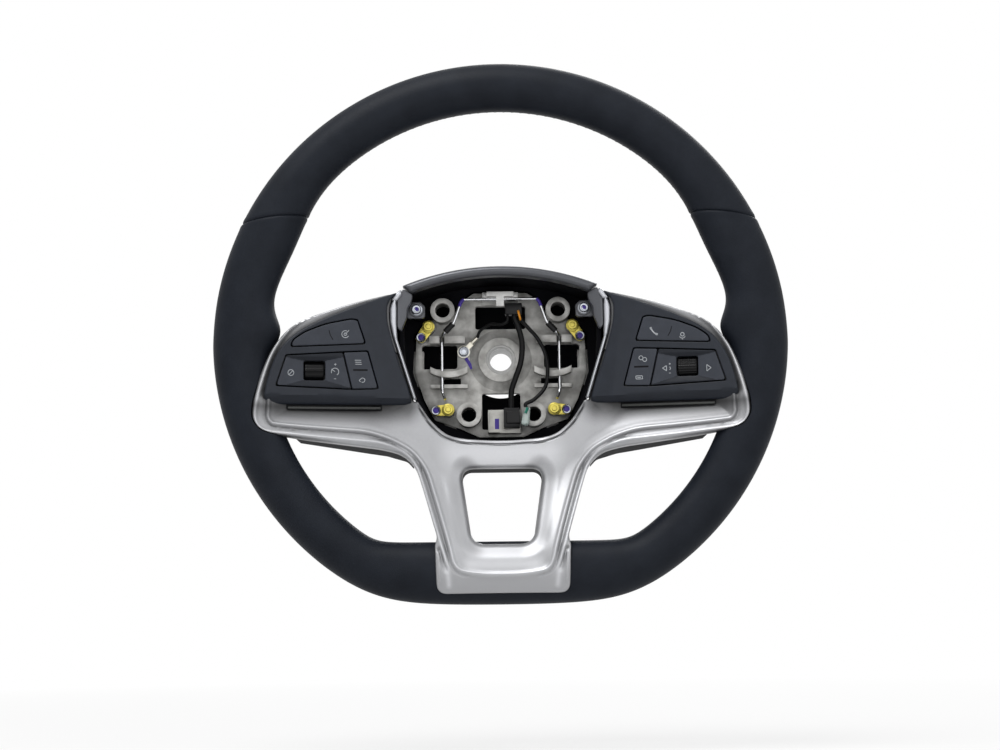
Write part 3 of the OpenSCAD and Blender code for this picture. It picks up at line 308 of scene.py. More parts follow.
# Each plastic is its colour and roughness, then the grain's scale and height and the shine where
# they aren't the usual ones
PLASTICS = {
    "foam": ((0.03, 0.03, 0.033), 0.85, 1500, 0.0002),
    "cover_black": ((0.006, 0.006, 0.0075), 0.6, 1800, 0.00006, 0.02),
    "switch_plastic": ((0.014, 0.017, 0.024), 0.42, *FINE_GRAIN, 0.22),
    "key_plastic": ((0.03, 0.034, 0.044), 0.46, *FINE_GRAIN, 0.22),
    "facet_dark": ((0.012, 0.014, 0.019), 0.4, *FINE_GRAIN, 0.15),
    "roller_black": ((0.003, 0.003, 0.0035), 0.35, *FINE_GRAIN, 0.15),
    "connector_black": ((0.006, 0.006, 0.0065), 0.35, *FINE_GRAIN, 0.2),
    "lead_black": ((0.005, 0.005, 0.0055), 0.42, 900, 0.0001, 0.15),
    "sleeve_black": ((0.01, 0.01, 0.01), 0.5),
    "symbol_grey": ((0.36, 0.38, 0.4), 0.5),
    "symbol_strip": ((0.03, 0.032, 0.03), 0.22),
    "groove_dark_and_slot_shade": ((0.003, 0.003, 0.004), 0.5, *FINE_GRAIN, 0.1),
    "board_green": ((0.01, 0.07, 0.03), 0.35),
    "silicone": ((0.5, 0.51, 0.52), 0.55),
    "purple_mark": ((0.06, 0.035, 0.3), 0.4),
    "green_wire": ((0.01, 0.16, 0.11), 0.4),
    "orange_wire": ((0.85, 0.33, 0.03), 0.4),
}
# Each metal is its colour and roughness, then how metallic it is where it is painted or dull
METALS = {
    "sleeve_steel": ((0.24, 0.24, 0.235), 0.38),
    "ring_steel": ((0.3, 0.3, 0.32), 0.4),
    "spring_steel": ((0.62, 0.63, 0.65), 0.25),
    "clamp_zinc": ((0.6, 0.6, 0.59), 0.42, 0.5),
    "yellow_zinc": ((0.66, 0.56, 0.11), 0.36, 0.6),
    "screw_steel": ((0.4, 0.42, 0.46), 0.28),
    "tinned_copper": ((0.6, 0.58, 0.5), 0.35),
    "bracket_steel": ((0.36, 0.355, 0.335), 0.4, 0.7),
}
M = {
    "leather": leather_material(),
    "silver_paint": silver_material(),
    "satin_trim": satin_material(),
    "chrome": chrome_material(),
    "cast_alloy": casting_material(),
    **{name: plastic_material(name, *values) for name, values in PLASTICS.items()},
    **{name: metal_material(name, *values) for name, values in METALS.items()},
    "clear_plastic": new_material("clear_plastic", (0.75, 0.85, 0.82), 0.18, 0.0,
                                  Transmission_Weight=0.55, IOR=1.46),
}


# Mesh helpers

def smooth_by_angle(obj, angle=35.0):
    obj.data.shade_smooth()
    obj.data.set_sharp_from_angle(angle=math.radians(angle))
    return obj


def mesh_object(name, points, faces, material, sharp=35.0):
    """A mesh from points in millimetres, smooth but for edges sharper than an angle."""
    mesh = bpy.data.meshes.new(name)
    mesh.from_pydata([tuple(p) for p in np.asarray(points, float) * MM], [], [tuple(f) for f in faces])
    mesh.validate()
    shape = bmesh.new()
    shape.from_mesh(mesh)
    bmesh.ops.recalc_face_normals(shape, faces=shape.faces)
    shape.to_mesh(mesh)
    shape.free()
    mesh.materials.append(material)
    return smooth_by_angle(add_object(name, mesh), sharp)


def dress(obj, slot, *nodes, body=BODY):
    """Fastens a piece to its body and hides the CAD nodes that it stands for. Its slot is not used."""
    if nodes:
        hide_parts(*nodes)
    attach(obj, body)
    return obj


def join(name, parts):
    """Joins pieces of one material into one object."""
    bpy.ops.object.select_all(action="DESELECT")
    for part in parts:
        part.select_set(True)
    bpy.context.view_layer.objects.active = parts[0]
    if len(parts) > 1:
        bpy.ops.object.join()
    joined = bpy.context.view_layer.objects.active
    joined.name = name
    return joined


def apply_modifiers(obj):
    """Replaces an object's mesh by what its modifiers make of it."""
    evaluated = obj.evaluated_get(bpy.context.evaluated_depsgraph_get())
    mesh = bpy.data.meshes.new_from_object(evaluated)
    obj.modifiers.clear()
    obj.data = mesh
    return obj


def corner_arc(start, corner, end, steps):
    """Points on the curve that rounds a corner from start to end."""
    return [(1 - t) ** 2 * start + 2 * t * (1 - t) * corner + t * t * end for t in np.linspace(0, 1, steps + 1)]


def rounded_loop(points, radius=1000.0, step=1.2):
    """A closed outline with its corners rounded. A large radius takes all of the edges beside a corner."""
    p = np.asarray(points, float)
    n = len(p)
    radii = np.broadcast_to(np.asarray(radius, float), (n,))
    path = []
    for i in range(n):
        before, here, after = p[i - 1], p[i], p[(i + 1) % n]
        a, b = before - here, after - here
        la, lb = np.hypot(*a), np.hypot(*b)
        a, b = a / la, b / lb
        turn = math.pi - math.acos(max(-1, min(1, float(a @ b))))
        reach = min(radii[i] * math.tan(turn / 2), 0.49 * la, 0.49 * lb)
        path += corner_arc(here + reach * a, here, here + reach * b, 8) if reach >= 0.02 else [here]
    return resample(np.array(path + [path[0]]), step)[:-1]


def resample(path, step):
    """Points at even steps along an open line."""
    along = np.r_[0, np.cumsum(np.hypot(*np.diff(path, axis=0).T))]
    wanted = np.linspace(0, along[-1], max(3, int(round(along[-1] / step))) + 1)
    return np.c_[np.interp(wanted, along, path[:, 0]), np.interp(wanted, along, path[:, 1])]


def mirrored(points):
    """A right half, from the middle of one side to the middle of the other, and its mirror image."""
    return list(points) + [(-x, z) for x, z in reversed(points)]


def left_of(tangent):
    """Unit vectors to the left of each direction along a line."""
    return np.c_[-tangent[:, 1], tangent[:, 0]] / np.maximum(np.hypot(*tangent.T), 1e-9)[:, None]


def line_distance(points, line, closed=False):
    """The distance from each point to a line of points."""
    a = np.asarray(line, float)
    b = np.roll(a, -1, axis=0) if closed else a[1:]
    a = a if closed else a[:-1]
    best = np.full(len(points), np.inf)
    v = b - a
    size = np.maximum((v ** 2).sum(1), 1e-12)
    for i in range(0, len(points), 4000):
        q = points[i:i + 4000, None, :] - a[None]
        t = np.clip((q * v).sum(2) / size, 0, 1)
        best[i:i + 4000] = np.sqrt(((q - t[..., None] * v) ** 2).sum(2).min(1))
    return best


def edge_distance(points, loops):
    """The distance from each point to the nearest of some closed outlines."""
    return np.min([line_distance(points, loop, True) for loop in loops], axis=0)


def inside(points, loop):
    """Which points lie inside a closed outline."""
    a = np.asarray(loop, float)
    b = np.roll(a, -1, axis=0)
    result = np.zeros(len(points), bool)
    slope = np.where(b[:, 1] == a[:, 1], 1e-9, b[:, 1] - a[:, 1])
    for i in range(0, len(points), 4000):
        x, z = points[i:i + 4000, 0][:, None], points[i:i + 4000, 1][:, None]
        crosses = (a[:, 1] > z) != (b[:, 1] > z)
        left = x < (b[:, 0] - a[:, 0]) * (z - a[:, 1]) / slope + a[:, 0]
        result[i:i + 4000] = (crosses & left).sum(1) % 2 == 1
    return result


def between(points, loops):
    """Which points lie inside the first outline and outside the others."""
    keep = inside(points, loops[0])
    for hole in loops[1:]:
        keep &= ~inside(points, hole)
    return keep


CREASE_ROWS = (0.5, 1.0, 1.6, 2.3)


def beside_line(line, offsets, step=0.9):
    """Rows of points along an open line, at offsets to both sides of it."""
    path = resample(np.asarray(line, float), step)
    normal = left_of(np.gradient(path, axis=0))
    rows = [path]
    for d in offsets:
        for side in (-d, d):
            row = path + side * normal
            rows.append(row[line_distance(row, path) > 0.93 * d])
    return np.concatenate(rows)


def triangulate(outer, holes, rings, grid, creases=()):
    """A flat mesh between an outline and its holes, with rings of points along each edge and rows
    along each crease."""
    loops = [np.asarray(outer)] + [np.asarray(h) for h in holes]
    points, edges, extra = [], [], []
    for loop in loops:
        start = len(points)
        points += [tuple(p) for p in loop]
        edges += [(start + i, start + (i + 1) % len(loop)) for i in range(len(loop))]
        normal = left_of(np.roll(loop, -1, axis=0) - np.roll(loop, 1, axis=0))
        for d in rings:
            for side in (-d, d):
                ring = loop + side * normal
                extra.append(ring[edge_distance(ring, loops) > 0.93 * d])
    low, high = loops[0].min(0), loops[0].max(0)
    xs = np.arange(low[0] + grid / 2, high[0], grid)
    zs = np.arange(low[1] + grid / 2, high[1], grid)
    field = np.array([(x + (j % 2) * grid / 2, z) for j, z in enumerate(zs) for x in xs])
    reach = max(rings) + grid * 0.6
    extra = np.concatenate([*extra, field[edge_distance(field, loops) > reach]])
    if creases:
        extra = extra[np.min([line_distance(extra, c) for c in creases], axis=0) > CREASE_ROWS[-1] + 0.4]
        rows = np.concatenate([beside_line(c, CREASE_ROWS) for c in creases])
        extra = np.r_[extra, rows[edge_distance(rows, loops) > 0.4]]
    points += [tuple(p) for p in extra[between(extra, loops)]]
    flat, _, triangles, *_ = delaunay_2d_cdt([Vector(p) for p in points], edges, [], 0, 1e-5)
    flat = np.array([tuple(p) for p in flat])
    triangles = np.array([t for t in triangles if len(t) == 3])
    return flat, triangles[between(flat[triangles].mean(1), loops)], loops


def relief(name, outer, holes, front, back, material, rings=(0.25, 0.6, 1.0, 1.6), grid=2.0, place=None,
           creases=()):
    """A solid whose front is front(x, z, edge), with edge the distance to its nearest edge, and whose
    back is back(x, z)."""
    flat, triangles, loops = triangulate(outer, holes, rings, grid, creases)
    x, z = flat[:, 0], flat[:, 1]
    y_front = np.broadcast_to(front(x, z, edge_distance(flat, loops)), x.shape)
    y_back = np.maximum(np.broadcast_to(back(x, z), x.shape), y_front + 0.05)
    n = len(flat)
    points = np.r_[np.c_[x, y_front, z], np.c_[x, y_back, z]]
    a, b, c = (flat[triangles[:, k]] for k in range(3))
    turns_left = np.cross(b - a, c - a) > 0
    triangles = np.where(turns_left[:, None], triangles, triangles[:, ::-1])
    faces = [tuple(t) for t in triangles] + [tuple(int(k) + n for k in t[::-1]) for t in triangles]
    # an edge that only one triangle uses gets a wall
    used = dict.fromkeys((int(t[i]), int(t[(i + 1) % 3])) for t in triangles for i in range(3))
    faces += [(j, i, i + n, j + n) for i, j in used if (j, i) not in used]
    return mesh_object(name, points if place is None else place(points), faces, material)


def round_over(edge, radius):
    """How far a rounded edge lies behind the face."""
    t = np.clip(1 - edge / radius, 0, 1)
    return radius * (1 - np.sqrt(1 - t * t))


def plate(name, outer, holes, y0, y1, material, edge_radius=0.5, place=None, grid=3.0):
    """A flat plate from y0 to y1 with a rounded front edge."""
    rings = [edge_radius * t for t in (0.1, 0.3, 0.6, 1.0)]
    return relief(name, outer, holes, lambda x, z, e: y0 + round_over(e, edge_radius), lambda x, z: y1,
                  material, rings, grid, place)


def lathe(name, profile, centre, material, sides=32):
    """A turned piece round an axis along Y: profile is (radius, y) from front to back."""
    points, rows, faces = [], [], []
    for r, y in profile:
        if r == 0:
            rows.append([len(points)])
            points.append((centre[0], y, centre[1]))
        else:
            rows.append([len(points) + k for k in range(sides)])
            points += [(centre[0] + r * math.cos(2 * math.pi * k / sides), y,
                        centre[1] + r * math.sin(2 * math.pi * k / sides)) for k in range(sides)]
    for a, b in zip(rows, rows[1:]):
        for k in range(sides):
            j = (k + 1) % sides
            face = [a[k % len(a)], b[k % len(b)], b[j % len(b)], a[j % len(a)]]
            face = [v for i, v in enumerate(face) if v != face[i - 1]]
            if len(face) > 2:
                faces.append(face)
    return mesh_object(name, points, faces, material)


def add_bevel(obj, width, segments):
    soften = obj.modifiers.new("bevel", "BEVEL")
    soften.width = width * MM
    soften.segments = segments
    return soften


def brick(name, low, high, material, bevel=0.4, place=None):
    """A box with rounded edges."""
    (x0, y0, z0), (x1, y1, z1) = low, high
    points = np.array([(x, y, z) for x in (x0, x1) for y in (y0, y1) for z in (z0, z1)], float)
    faces = [(0, 1, 3, 2), (4, 6, 7, 5), (0, 4, 5, 1), (2, 3, 7, 6), (0, 2, 6, 4), (1, 5, 7, 3)]
    obj = mesh_object(name, points if place is None else place(points), faces, material)
    add_bevel(obj, bevel, 3)
    return smooth_by_angle(apply_modifiers(obj))


def softened_copy(node, name, bevel, material):
    """A copy of a CAD node with its edges rounded, in a finish of its own."""
    obj = add_object(name, NODES[node].data.copy())
    weld = obj.modifiers.new("weld", "WELD")
    weld.merge_threshold = 0.00001
    soften = add_bevel(obj, bevel, 2)
    soften.limit_method = "ANGLE"
    soften.angle_limit = math.radians(30)
    soften.use_clamp_overlap = True
    smooth_by_angle(apply_modifiers(obj))
    obj.data.materials.clear()
    obj.data.materials.append(material)
    return obj


# Rim: the same outline by angle as the CAD model's

RIM_R, RIM_RISE, RIM_Y, RIM_DEPTH = 187.8, 4.0, -50.0, 29.0
FLAT_OUT, FLAT_IN, LOWER_DRAW = 169.5, 127.5, 5.2
GRIP_TOP, GRIP_LOW = 155.3, 150.9
# how sharply the round rim meets its flat bottom, outside and inside
SHARP_OUT, SHARP_IN = 30.0, 60.0
# the thumb rest and the swelling at the spoke: size, angle and spread
SWELLINGS = ((6.2, 26.0, 8.5), (7.5, 4.0, 3.5))
SEAMS, SEAM_SLANT, SLANT_SPREAD = (30.0, 150.0, 270.0), 4.25, 16
# the angle in the section at which a panel's long edges meet
INNER_SEAM = 158.0
SECTION_SIDES, PANEL_STEP = 64, 0.75
# extra rows of points beside a seam, in degrees from it
SEAM_ROWS = np.array([0.06, 0.14, 0.24, 0.36, 0.52])
LEATHER_BULGE = 0.977
# height of a stitch's ends, how far it arches, slants and reaches, and its thickness
STITCH_LIFT, STITCH_ARCH, STITCH_SLANT, STITCH_REACH, STITCH_THICK = -0.1, 0.22, 0.5, 7.5, 0.68
STITCH_PITCH = 2.05
STITCHED = ((35, 145), (8, 26), (154, 172), (207, 250), (290, 333))
POCKET_DEPTH, BEZEL_DEPTH = 11.2, 11


def ease(t):
    t = np.clip(t, 0, 1)
    return t * t * (3 - 2 * t)


def mound(distance, height, width):
    """A smooth rise over a line, by the distance from it."""
    return height * np.exp(-(distance / width) ** 2)


def flattened(radius, flat, s, sharp):
    """A radius that a flat bottom cuts; s is the sine of the rim angle."""
    return (radius ** -sharp + (flat / np.maximum(0.2, -s)) ** -sharp) ** (-1 / sharp)


def rim_outer(t):
    s = np.sin(np.radians(t))
    return np.where(s >= 0, RIM_R, flattened(RIM_R + LOWER_DRAW * s, FLAT_OUT, s, SHARP_OUT))


def rim_inner(t):
    s = np.sin(np.radians(t))
    turn = np.where(t > 270, t - 360, t)
    side = np.where(turn < 90, turn, 180 - turn)
    swell = sum(size * np.exp(-((side - at) / spread) ** 2 / 2) for size, at, spread in SWELLINGS)
    up = GRIP_LOW + (GRIP_TOP - GRIP_LOW) * ease(side / 30)
    return np.where(s > 0, up, flattened(GRIP_LOW, FLAT_IN, s, SHARP_IN)) - swell


def rim_slant(t):
    return SEAM_SLANT * (mound(t - SEAMS[1], 1, SLANT_SPREAD) - mound(t - SEAMS[0], 1, SLANT_SPREAD))


def rim_points(turn, around, lift=0.0):
    """Points on the leather: turn is the rim angle and around the angle in the section, in degrees,
    with 0 outside, 90 behind, 180 inside and 270 towards the driver."""
    turn, around = np.broadcast_arrays(np.asarray(turn, float) % 360, np.asarray(around, float))
    a = np.radians(around)
    t = (turn + rim_slant(turn) * np.cos(a)) % 360
    half = (rim_outer(t) - rim_inner(t)) / 2
    radius = (rim_outer(t) + rim_inner(t)) / 2 + (half * LEATHER_BULGE + lift) * np.cos(a)
    y = RIM_Y + (RIM_DEPTH / 2 * LEATHER_BULGE + lift) * np.sin(a)
    w = np.radians(t)
    return np.stack([radius * np.cos(w), y, RIM_RISE + radius * np.sin(w)], -1)


def leather_panel(name, start, end, node, pocket):
    """One stitched panel: its ends turn in at the seams, its long edges meet inside the rim, and the
    bezel lies in a pocket."""
    turns = np.linspace(start, end, int((end - start) / PANEL_STEP) + 1)
    turns = np.unique(np.r_[turns, start + SEAM_ROWS, end - SEAM_ROWS])
    arounds = np.arange(SECTION_SIDES) * 360 / SECTION_SIDES + INNER_SEAM
    # degrees to the nearer seam; the joint under the bezel has no fold
    hidden = 9.0
    near = np.minimum(np.where(start == SEAMS[2], hidden, turns - start),
                      np.where(end == SEAMS[2], hidden, end - turns))
    fold = -0.85 * np.clip(1 - near / 0.5, 0, 1) ** 2.2 + mound(near - 0.9, 0.22, 0.45)
    seam = np.abs((arounds - INNER_SEAM + 180) % 360 - 180)
    groove = mound(seam - 7, 0.25, 3.0) - mound(seam, 0.9, 2.6)
    points = rim_points(turns[:, None], arounds[None, :], fold[:, None] + groove[None, :])
    n, m = points.shape[:2]
    faces = [(i * m + k, (i + 1) * m + k, (i + 1) * m + (k + 1) % m, i * m + (k + 1) % m)
             for i in range(n - 1) for k in range(m)]
    faces += [tuple(range(m)), tuple(reversed([(n - 1) * m + k for k in range(m)]))]
    obj = mesh_object(name, points.reshape(-1, 3), faces, M["leather"], 50)
    knife = obj.modifiers.new("pocket", "BOOLEAN")
    knife.operation = "DIFFERENCE"
    knife.solver = "MANIFOLD"
    knife.object = pocket
    return dress(smooth_by_angle(apply_modifiers(obj), 50), "leather", node)


def stitches():
    """Crossed stitches along the inner seam, away from the bezel."""
    lines = [[rim_points(turn + s * STITCH_SLANT, INNER_SEAM + s * STITCH_REACH,
                         STITCH_LIFT + STITCH_ARCH * (1 - s * s)) for s in np.linspace(-1, 1, 7)]
             for start, end in STITCHED for turn in np.arange(start, end, STITCH_PITCH)]
    dress(curve_tube("rim_stitching", lines, STITCH_THICK, M["sleeve_black"], 1), "leather")


def build_rim():
    pocket = relief("bezel_pocket", bezel_outline(), [], lambda x, z, e: -100,
                    lambda x, z: bezel_base(x, z) + POCKET_DEPTH, M["leather"], (0.6,), 4.0)
    for side, start, end in (("top", SEAMS[0], SEAMS[1]), ("left", SEAMS[1], SEAMS[2]),
                             ("right", SEAMS[2], SEAMS[0] + 360)):
        leather_panel("leather_" + side + "_skin", start, end, "leather_" + side, pocket)
    bpy.data.objects.remove(pocket)
    stitches()


# Spoke bezel

LEAN_ANGLE = math.radians(10)
BEZEL_Y, LEAN, FLAT_HALF, FLAT_SPREAD = -44.0, math.tan(LEAN_ANGLE), 55.0, 4
CROWN_Y, LEG_BEND, LEG_CROWN, LEG_END = -66.0, 68.0, 140.0, 157.5


def curve_points(points):
    return np.array([(p[0], p[2]) for p in smooth_route([(x, 0, z) for x, z in points], 10)])


# The outline's right half, from the middle of the well's lower edge round to the clamp
WELL_LOW = [(6, -58), (16.5, -57.4), (26, -56.6), (35.6, -54.2), (46, -45.3)]
STRIP_SIDE = [(54.6, -31.9), (57.1, -31.9), (70.9, 12), (72.5, 20), (72.6, 30), (69.8, 37.8)]
WING_TOP = [(72.9, 38.5), (98.8, 32), (124.7, 22.5), (136.3, 16), (147.1, 3.8), (155.2, -14)]
WING_LOW = [(160.7, -34), (161, -44), (155, -52), (133.2, -56.3), (77.9, -63), (64.3, -66.6), (55.7, -76)]
LEG_SIDE = [(51, -91), (42.1, -121), (43.4, -127), (42.5, -157.5)]
CORNER_RADII = {(161, -44): 12, (155, -52): 14, (43.4, -127): 8, (42.1, -121): 8, (42.5, -157.5): 7,
                (54.6, -31.9): 0.3, (57.1, -31.9): 0.3, (69.8, 37.8): 0.4, (72.9, 38.5): 0.4}
WINDOW_LOOP = rounded_loop(mirrored([(27.3, -76), (19.7, -126)]), (8.0, 10.5, 10.5, 8.0), 0.9)
OUTER_BEAD = curve_points([
    (111, 30.5), (121.5, 25.7), (132.4, 18.4), (140.9, 9.6), (147.6, -1.5), (152.2, -13.8), (156.6, -29.2),
    (158.4, -39.7), (157.6, -46.1), (154.3, -50.1), (148.5, -52.2), (133.9, -53.7), (115, -55.7), (95.9, -57.4),
    (80, -59), (69, -62.2), (61, -67), (55.7, -74.2), (51.7, -85.1), (46.2, -103.1), (41, -121), (37.4, -134),
    (35.6, -143), (34.6, -152)])
INNER_BEAD = curve_points([
    (149.6, -26), (150, -38.7), (150.1, -42.7), (148.2, -45.9), (144.5, -47), (128.6, -48.5), (108.8, -50),
    (88.9, -51.6), (76, -55), (67, -59), (58.6, -64.3), (52.3, -71.5), (47.9, -79.5), (43.6, -93), (38.6, -110),
    (33.8, -127.7), (31.7, -136.4), (29.2, -140.8), (24.4, -143.2), (12, -144.9), (0, -145.2)])
# inside the inner bead, towards the window and the switch
INNER_FIELD = np.r_[INNER_BEAD, [(0, -40), (60, 0), (140, 0), (149, -20)]]
WELL_LIP = curve_points([(0, -58.1), (6, -58), (16.5, -57.4), (26, -56.6), (35.4, -53.7), (41, -49.6),
                         (45.6, -44.6), (50.4, -37), (54.3, -29)])
CLAMP_HOLLOW = [(41.4, -128), (39.2, -134), (36.4, -143)]
CLAMP_EDGE = [(41, -131), (40.4, -150)]
# height and width of the two beads, and the room behind the upper keys
OUTER_RISE, INNER_RISE, KEY_ROOM = (1.6, 1.5), (1.35, 1.25), 4.5
BEZEL_RINGS = (0.2, 0.5, 0.9, 1.3, 1.8, 2.4, 3.0, 3.6, 4.3, 5.0, 5.8, 6.6, 7.4, 8.2, 9.0, 9.7, 10.4, 11.1,
               11.8, 12.5, 13.2, 13.9, 14.7, 15.5)


def wing_front(x):
    return BEZEL_Y - LEAN * FLAT_SPREAD * np.log1p(np.exp((np.abs(x) - FLAT_HALF) / FLAT_SPREAD))


def bezel_base(x, z):
    """The spokes' front without its beads and hollows."""
    down = -z
    drop = (CROWN_Y - BEZEL_Y) * ease((down - LEG_BEND) / (LEG_CROWN - LEG_BEND))
    roll = 5 * (np.clip(down - LEG_CROWN, 0, None) / (LEG_END - LEG_CROWN)) ** 2
    return wing_front(x) + (drop + roll) * ease((64 - np.abs(x)) / 8)


def bezel_outline():
    """The bezel's whole edge, round the spokes and back along the chrome strips and the well."""
    loop = mirrored(WELL_LOW + STRIP_SIDE + WING_TOP + WING_LOW + LEG_SIDE)
    return rounded_loop(loop, [CORNER_RADII.get((abs(x), z), 1000.0) for x, z in loop], 1.1)


def bezel_front(x, z, edge):
    side = np.c_[np.abs(x), z]
    outer, inner = line_distance(side, OUTER_BEAD), line_distance(side, INNER_BEAD)
    within = inside(side, INNER_FIELD)
    y = bezel_base(x, z) - mound(outer, *OUTER_RISE) * ease((z + 142) / 14) - mound(inner, *INNER_RISE)
    y = y + mound(inner - 2.6, 0.5, 0.8) * np.where(within, 0, 1) * ease((16 - outer) / 6)
    # the field falls back towards the switch
    fall = 3.2 * ease((inner - 3) / 13) * ease((np.abs(x) - 62) / 22)
    y = y + np.where(within, 1.6 * ease(inner / 8) + fall, 0)
    # a hollow at each side of the clamp, beside its raised edge
    y = y + mound(line_distance(side, CLAMP_HOLLOW), 1.0, 1.2) * ease((z + 145) / 5) * ease((-126 - z) / 3)
    y = y - mound(line_distance(side, CLAMP_EDGE), 0.6, 1.0)
    # the legs turn in towards the window
    window_edge = line_distance(side, WINDOW_LOOP, True)
    across = ease(((np.abs(x) - 22) + 0.75 * (-z - 62)) / 16)
    y = y + np.where(within, 3.4 * ease(1 - window_edge / 11) * across, 0)
    y = y + 1.6 * ease(1 - window_edge / 3.2) ** 2
    # a fine double lip round the well
    well = line_distance(side, WELL_LIP)
    y = y + (mound(well - 2.6, 0.8, 0.55) - mound(well - 1.5, 0.5, 0.5)) * ease((-z - 30) / 8)
    # room behind the keys for their travel
    y = y + KEY_ROOM * inside(side, face_on_right(grow(UPPER_KEY, 1.2)))
    return y + round_over(edge, 1.2)


def bezel_painted_light(side):
    """Painted light and shade on the paint at points of the right half, as a factor for its colour."""
    # painted shade: darker in the hollow round the switch, most of all below it
    switch = face_on_right(HOUSING)
    away = np.where(inside(side, switch), 0, line_distance(side, switch, True))
    under = ease((-30 - side[:, 1]) / 6)
    light = (0.1 + 0.9 * ease(away / 17)) * under + (0.5 + 0.5 * ease(away / 3.5)) * (1 - under)
    light = 1 - (1 - light) * ease((side[:, 0] - 46) / 16)
    # and painted highlights: brightest on the beads, below the well and over the clamp's ridge
    beads = [mound(line_distance(side, line), 1.0, 1.6) for line in (OUTER_BEAD, INNER_BEAD)]
    crown = mound(side[:, 1] + 66, 0.75, 9) * ease((46 - side[:, 0]) / 16)
    ridge = mound(side[:, 1] + 138, 0.7, 5) * ease((28 - side[:, 0]) / 8)
    return light * (0.68 + 0.32 * np.max([*beads, crown, ridge], axis=0))


def build_bezel():
    beads = [line * (side, 1) for line in (OUTER_BEAD, INNER_BEAD) for side in (1, -1)]
    skin = relief("bezel_skin", bezel_outline(), [WINDOW_LOOP], bezel_front,
                  lambda x, z: bezel_base(x, z) + BEZEL_DEPTH, M["silver_paint"], BEZEL_RINGS, 1.5, creases=beads)
    # the painted light and shade go onto the mesh as a colour attribute
    places = np.array([tuple(v.co) for v in skin.data.vertices]) / MM
    light = bezel_painted_light(np.c_[np.abs(places[:, 0]), places[:, 2]])
    values = skin.data.attributes.new("painted_light_and_shade", "FLOAT_COLOR", "POINT")
    values.data.foreach_set("color", np.c_[light, light, light, np.ones(len(light))].ravel())
    dress(skin, "silver_paint", "spoke_bezel")


# Trim arc and chrome strips

ARC_OUT, ARC_IN, ARC_END, ARC_IN_END = (57.0, 170.0), (50.5, 165.0), 64.4, 58.5
TRIM_SIDE = [(57, 39), (64.2, 42.8), (64.9, 38.8), (67.3, 35.4), (67.4, 30), (67.5, 17), (65.2, 14), (61.4, 23),
             (61, 29.5), (58.4, 33.8)]
TRIM_TAB = [(50, 24.8), (62.5, 24.8), (62.5, 36), (53, 36), (49.8, 33)]
TRIM_LEG = [(60, 36.5), (62.5, 36.5), (63.8, 25), (61.6, 25)]
TRIM_BOSS = [(0, -31), (4.6, -31), (4.9, -30.7), (5.0, -30), (5.0, -28.5), (0, -28.5)]
TABS = (55.4, 30.5)
STRIP = [(68.4, 36.6), (71.2, 33), (72.3, 29), (72.2, 20), (70.6, 12), (57.0, -31.2), (55.1, -31.2), (67.6, 9.5),
         (68, 20), (67.9, 30)]
CAP = [(70.6, 34.2), (71, 35.4), (69, 38.4), (66.4, 40.7), (64.9, 41.9), (64.3, 38.5), (67.4, 34.2)]


def arc_points(top, radius, half_width, count):
    reach = math.asin(half_width / radius)
    return [(radius * math.sin(t), top - radius + radius * math.cos(t)) for t in np.linspace(-reach, reach, count)]


def build_trim():
    def loop(outline, radius, step):
        """An outline of the right side or, for the left one, its mirror image."""
        return rounded_loop([(side * x, z) for x, z in outline][::side], radius, step)

    satin, chrome = M["satin_trim"], M["chrome"]
    arc = arc_points(*ARC_OUT, ARC_END, 90) + arc_points(*ARC_IN, ARC_IN_END, 80)[::-1]
    parts = [relief("arc", rounded_loop(arc, 0.8, 1.0), [], lambda x, z, e: BEZEL_Y - 3.2 + round_over(e, 3.4),
                    lambda x, z: BEZEL_Y + 6.5, satin, (0.1, 0.3, 0.6, 1.0, 1.5, 2.1, 2.8), 1.4)]
    for side in (1, -1):
        parts += [
            relief("side", loop(TRIM_SIDE, 4.0, 0.8), [],
                   lambda x, z, e: BEZEL_Y - 1.6 + 0.25 * (67 - np.abs(x)) + round_over(e, 0.7),
                   lambda x, z: BEZEL_Y + 4.5, satin, (0.1, 0.3, 0.7), 1.2),
            plate("tab", loop(TRIM_TAB, 2.2, 0.7), [], -30.2, -28, satin, 0.6),
            lathe("boss", TRIM_BOSS, (side * TABS[0], TABS[1]), satin),
            plate("leg", loop(TRIM_LEG, 0.5, 0.8), [], BEZEL_Y + 2, -28.2, satin, 0.3)]
    dress(join("upper_trim_shell", parts), "satin_trim", "upper_trim")
    for side, name in ((-1, "chrome_strip_left"), (1, "chrome_strip_right")):
        pair = [relief("strip", loop(STRIP, 3.0, 0.8), [], lambda x, z, e: BEZEL_Y - 3.5 + round_over(e, 1.7),
                       lambda x, z: BEZEL_Y + 1.5, chrome, (0.08, 0.2, 0.4, 0.7, 1.1, 1.6), 0.8),
                relief("cap", loop(CAP, 1.8, 0.6), [], lambda x, z, e: BEZEL_Y - 3.6 + round_over(e, 1.5),
                       lambda x, z: BEZEL_Y + 1.5, chrome, (0.08, 0.2, 0.4, 0.8), 0.8)]
        dress(join(name + "_bright", pair), "chrome", name)


# Switch modules, drawn for the left one in a frame that leans with the spoke: X along the face,
# Y from the face to the back, Z up. The right one is its mirror image.

